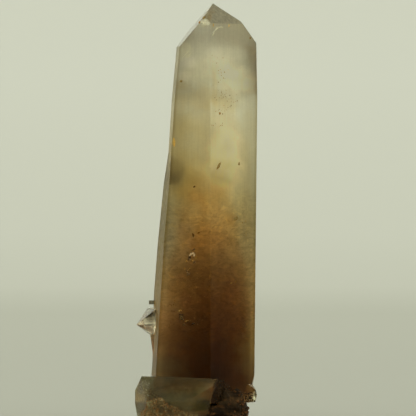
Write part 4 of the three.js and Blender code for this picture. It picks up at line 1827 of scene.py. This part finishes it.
@dataclass
class Crusts:
    """Rust, ochre and pale crumbs on the rock and the foot crystal, and flecks in the front faces."""

    form: CrystalForm
    rock: bpy.types.Object
    tree: StrewTree
    step: float = 0.4
    bare_foot: float = 0.6
    on_rock: Strewing = Strewing(2.4, 0.5, 11)
    rust: CrumbFinish = CrumbFinish("rust_crumbs", RUST, 0.8)
    patches: tuple[Patch, ...] = (
        Patch("ochre_crust", ((-17.3, 1.6), (-2.6, 1.2), (-3.4, 2.6), (-6.4, 3.8), (-9.0, 4.9), (-11.0, 5.6),
                              (-12.2, 7.4), (-15.6, 6.6), (-17.0, 4.5)),
              Strewing(22.0, 0.36, 5, patch=1.8, bare=0.42, full=0.58, flatness=0.3),
              CrumbFinish("ochre", OCHRE), Slot.MATRIX),
        Patch("brown_stain", ((-15.6, 6.2), (-12.0, 6.6), (-13.2, 9.3), (-15.2, 9.6)),
              Strewing(6.0, 0.3, 8, patch=1.4, bare=0.4, full=0.6), CrumbFinish("brown_crumbs", RUST),
              Slot.MATRIX),
        Patch("pale_sugar", ((-18.4, 7.6), (-15.4, 7.4), (-14.8, 11.4), (-17.6, 11.4)),
              Strewing(9.0, 0.28, 9, patch=1.6, bare=0.4, full=0.6), CrumbFinish("sugar_quartz", PALE),
              Slot.QUARTZ),
        Patch("foot_grains", ((0.6, 11.6), (3.2, 11.2), (4.4, 9.4), (7.2, 8.2), (10.6, 8.0), (11.0, 4.0),
                              (0.8, 4.0)),
              Strewing(14.0, 0.4, 21, patch=1.6, bare=0.35, full=0.6), CrumbFinish("dark_grains", DARK, 0.5),
              Slot.MATRIX),
        Patch("fleck_veil", ((-12.3, 24.0), (-2.0, 23.0), (0.2, 33.0), (-1.0, 40.0), (-9.0, 37.0)),
              Strewing(2.2, 0.24, 31, patch=3.0, bare=0.4, full=0.7, flatness=0.3),
              CrumbFinish("amber_flecks", AMBER, 0.4, 0.75), Slot.QUARTZ),
        Patch("fleck_ripples", ((3.4, 44.0), (8.8, 45.0), (9.0, 54.0), (3.8, 53.0)),
              Strewing(1.4, 0.28, 37, patch=1.8, bare=0.48, full=0.66, flatness=0.3),
              CrumbFinish("honey_flecks", DUST, 0.4, 0.7), Slot.QUARTZ),
        Patch("fleck_dust", ((0.3, 74.0), (3.0, 74.0), (7.0, 80.0), (4.6, 91.5), (0.3, 92.0)),
              Strewing(3.5, 0.24, 41, patch=2.5, bare=0.4, full=0.7, flatness=0.4),
              CrumbFinish("ochre_dust", DUST, 0.4, 0.7), Slot.QUARTZ),
    )

    def build(self) -> list[bpy.types.Object]:
        """Build and dress the crusts.

        Returns:
            Pieces of realized grains.
        """
        on_rock = self.tree.strew(self._above_foot(), "rust_grains", self.on_rock, self.rust.build())
        pieces = [keep(on_rock, Slot.MATRIX)]
        for patch in self.patches:
            carrier = self.form.front_patch(patch.edge, self.step, "carrier")
            grains = self.tree.strew(carrier, patch.name, patch.how, patch.finish.build())
            pieces.append(keep(grains, patch.slot))
        return pieces

    def _above_foot(self) -> bpy.types.Object:
        """Copy the rock's surface without its underside.

        Returns:
            An open mesh object that the caller removes.
        """
        shape = bmesh.new()
        shape.from_mesh(self.rock.data)
        under = [face for face in shape.faces if face.calc_center_median().z < self.bare_foot * MM]
        bmesh.ops.delete(shape, geom=under, context="FACES")
        return piece_from(shape, "carrier")


# ---------------------------------------------------------------------------------------------
# Studio
# ---------------------------------------------------------------------------------------------


@dataclass
class Studio:
    """A round light tent with a pale floor, an open top, and the camera in front."""

    form: CrystalForm
    floor_radius: float = 1.35
    inner_ring: float = 0.25
    cove_radius: float = 0.95
    wall_top: float = 2.6
    wall_from: float = 0.1
    segments: int = 96
    cove_steps: int = 24
    cloth: Colour = (0.372, 0.37, 0.336)
    # Painted shade: the cloth colour on the wall where it glows less.
    painted_shade_cloth: Colour = (0.2, 0.2, 0.19)
    glow: Colour = (0.965, 1.0, 0.86)
    facing: Place = (-0.42, 0.9, 0.0)
    turn_dark: float = -0.7
    turn_full: float = 0.6
    levels: tuple[tuple[float, float], ...] = (
        (0.0, 0.022), (0.012, 0.06), (0.04, 0.083), (0.13, 0.112), (0.22, 0.12), (0.45, 0.42), (1.0, 1.0),
    )
    glow_top: float = 1.85
    even_above: tuple[float, float] = (0.35, 0.9)
    shade: float = 0.55
    sky: Colour = (0.97, 1.0, 0.87)
    sky_strength: float = 0.17
    half_view: float = 52.0
    sensor: float = 36.0
    far_clip: float = 20.0
    camera_distance: float = 1300.0
    camera_x: float = -0.625
    camera_z: float = 54.0
    aim_y: float = 10.0
    bounces: int = 32
    clear_bounces: int = 24

    def build(self) -> None:
        """Set up the tent, the sky light, the camera and the colour handling."""
        self._tent()
        self._sky()
        self._camera()
        scene = bpy.context.scene
        scene.view_settings.view_transform = "Standard"
        scene.cycles.max_bounces = self.bounces
        scene.cycles.transmission_bounces = self.bounces
        scene.cycles.transparent_max_bounces = self.clear_bounces

    def _tent(self) -> bpy.types.Object:
        """Make the floor, the cove and the wall as one surface of revolution.

        Returns:
            The tent.
        """
        reach = self.floor_radius + self.cove_radius
        profile = [(self.floor_radius * self.inner_ring, 0.0), (self.floor_radius, 0.0)]
        for step in range(1, self.cove_steps + 1):
            angle = math.pi / 2 * step / self.cove_steps
            profile.append((self.floor_radius + self.cove_radius * math.sin(angle),
                            self.cove_radius * (1.0 - math.cos(angle))))
        profile.append((reach, self.wall_top))
        shape = bmesh.new()
        middle = shape.verts.new((0.0, 0.0, 0.0))
        loops = []
        for radius, height in profile:
            loops.append([shape.verts.new((radius * math.cos(math.tau * index / self.segments),
                                           radius * math.sin(math.tau * index / self.segments), height))
                          for index in range(self.segments)])
        for index in range(self.segments):
            after = (index + 1) % self.segments
            shape.faces.new((middle, loops[0][index], loops[0][after]))
            for lower, upper in zip(loops, loops[1:]):
                shape.faces.new((lower[index], upper[index], upper[after], lower[after]))
        return piece_from(shape, "light_tent", self._cloth_finish(), smooth=True)

    def _cloth_finish(self) -> bpy.types.Material:
        """Dress the tent in pale cloth that glows with height, most behind the crystal, and is painted
        darker on the wall where it glows less.

        Returns:
            The cloth's material.
        """
        dye = Dye("tent_cloth")
        level = dye.vector_math("MULTIPLY", dye.where, (1.0, 1.0, 0.0))
        way = dye.join_all(dye.add("ShaderNodeVectorMath", operation="NORMALIZE"), level)
        towards = dye.measure("DOT_PRODUCT", way, self.facing)
        lit = dye.span(towards, self.turn_dark, self.turn_full, self.shade)
        height = dye.axis("Z")
        top = self.levels[-1][0]
        stops = [(level / top, (strength, strength, strength)) for level, strength in self.levels]
        strength = dye.ramp(dye.math("DIVIDE", height, top), stops)
        # Painted shade: the cloth on the wall is darker where it glows less.
        wall = dye.math("MULTIPLY", dye.span(height, 0.0, self.wall_from), dye.math("SUBTRACT", 1.0, lit))
        lit = dye.math("MAXIMUM", lit, dye.span(height, *self.even_above))
        strength = dye.math("MULTIPLY", dye.math("MULTIPLY", strength, self.glow_top), lit)
        base = dye.blend(wall, opaque(self.cloth), opaque(self.painted_shade_cloth))
        dye.shade(Base_Color=base, Roughness=1.0, Specular_IOR_Level=0.0,
                  Emission_Color=opaque(self.glow), Emission_Strength=strength)
        return dye.material

    def _sky(self) -> None:
        """Light the scene softly from above and all round."""
        world = bpy.data.worlds.new("soft_sky")
        world.use_nodes = True
        background = world.node_tree.nodes["Background"]
        background.inputs["Color"].default_value = opaque(self.sky)
        background.inputs["Strength"].default_value = self.sky_strength
        bpy.context.scene.world = world

    def _camera(self) -> None:
        """Place a long lens level with the middle of the crystal."""
        lens = bpy.data.cameras.new("camera")
        lens.sensor_width = self.sensor
        lens.lens = lens.sensor_width / 2 * self.camera_distance / self.half_view
        lens.clip_end = self.far_clip
        camera = bpy.data.objects.new("camera", lens)
        bpy.context.scene.collection.objects.link(camera)
        camera.location = self.form.row(self.camera_x, self.aim_y - self.camera_distance, self.camera_z)
        camera.rotation_euler = (math.pi / 2, 0.0, 0.0)
        bpy.context.scene.camera = camera


def main() -> None:
    """Build the crystal group, what is sealed in it, its rock and the studio."""
    logging.basicConfig(level=logging.INFO, format="%(name)s %(message)s")
    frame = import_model()
    form = CrystalForm(frame["nodes"]["quartz"])
    CrystalGroup(form).build()
    ColourZones(form).build()
    Veils(form).build()
    Inclusions(form).build()
    rock = Rock(form, frame["nodes"]["matrix"]).build()
    Crusts(form, rock, StrewTree()).build()
    Studio(form).build()


if __name__ == "__main__":
    main()
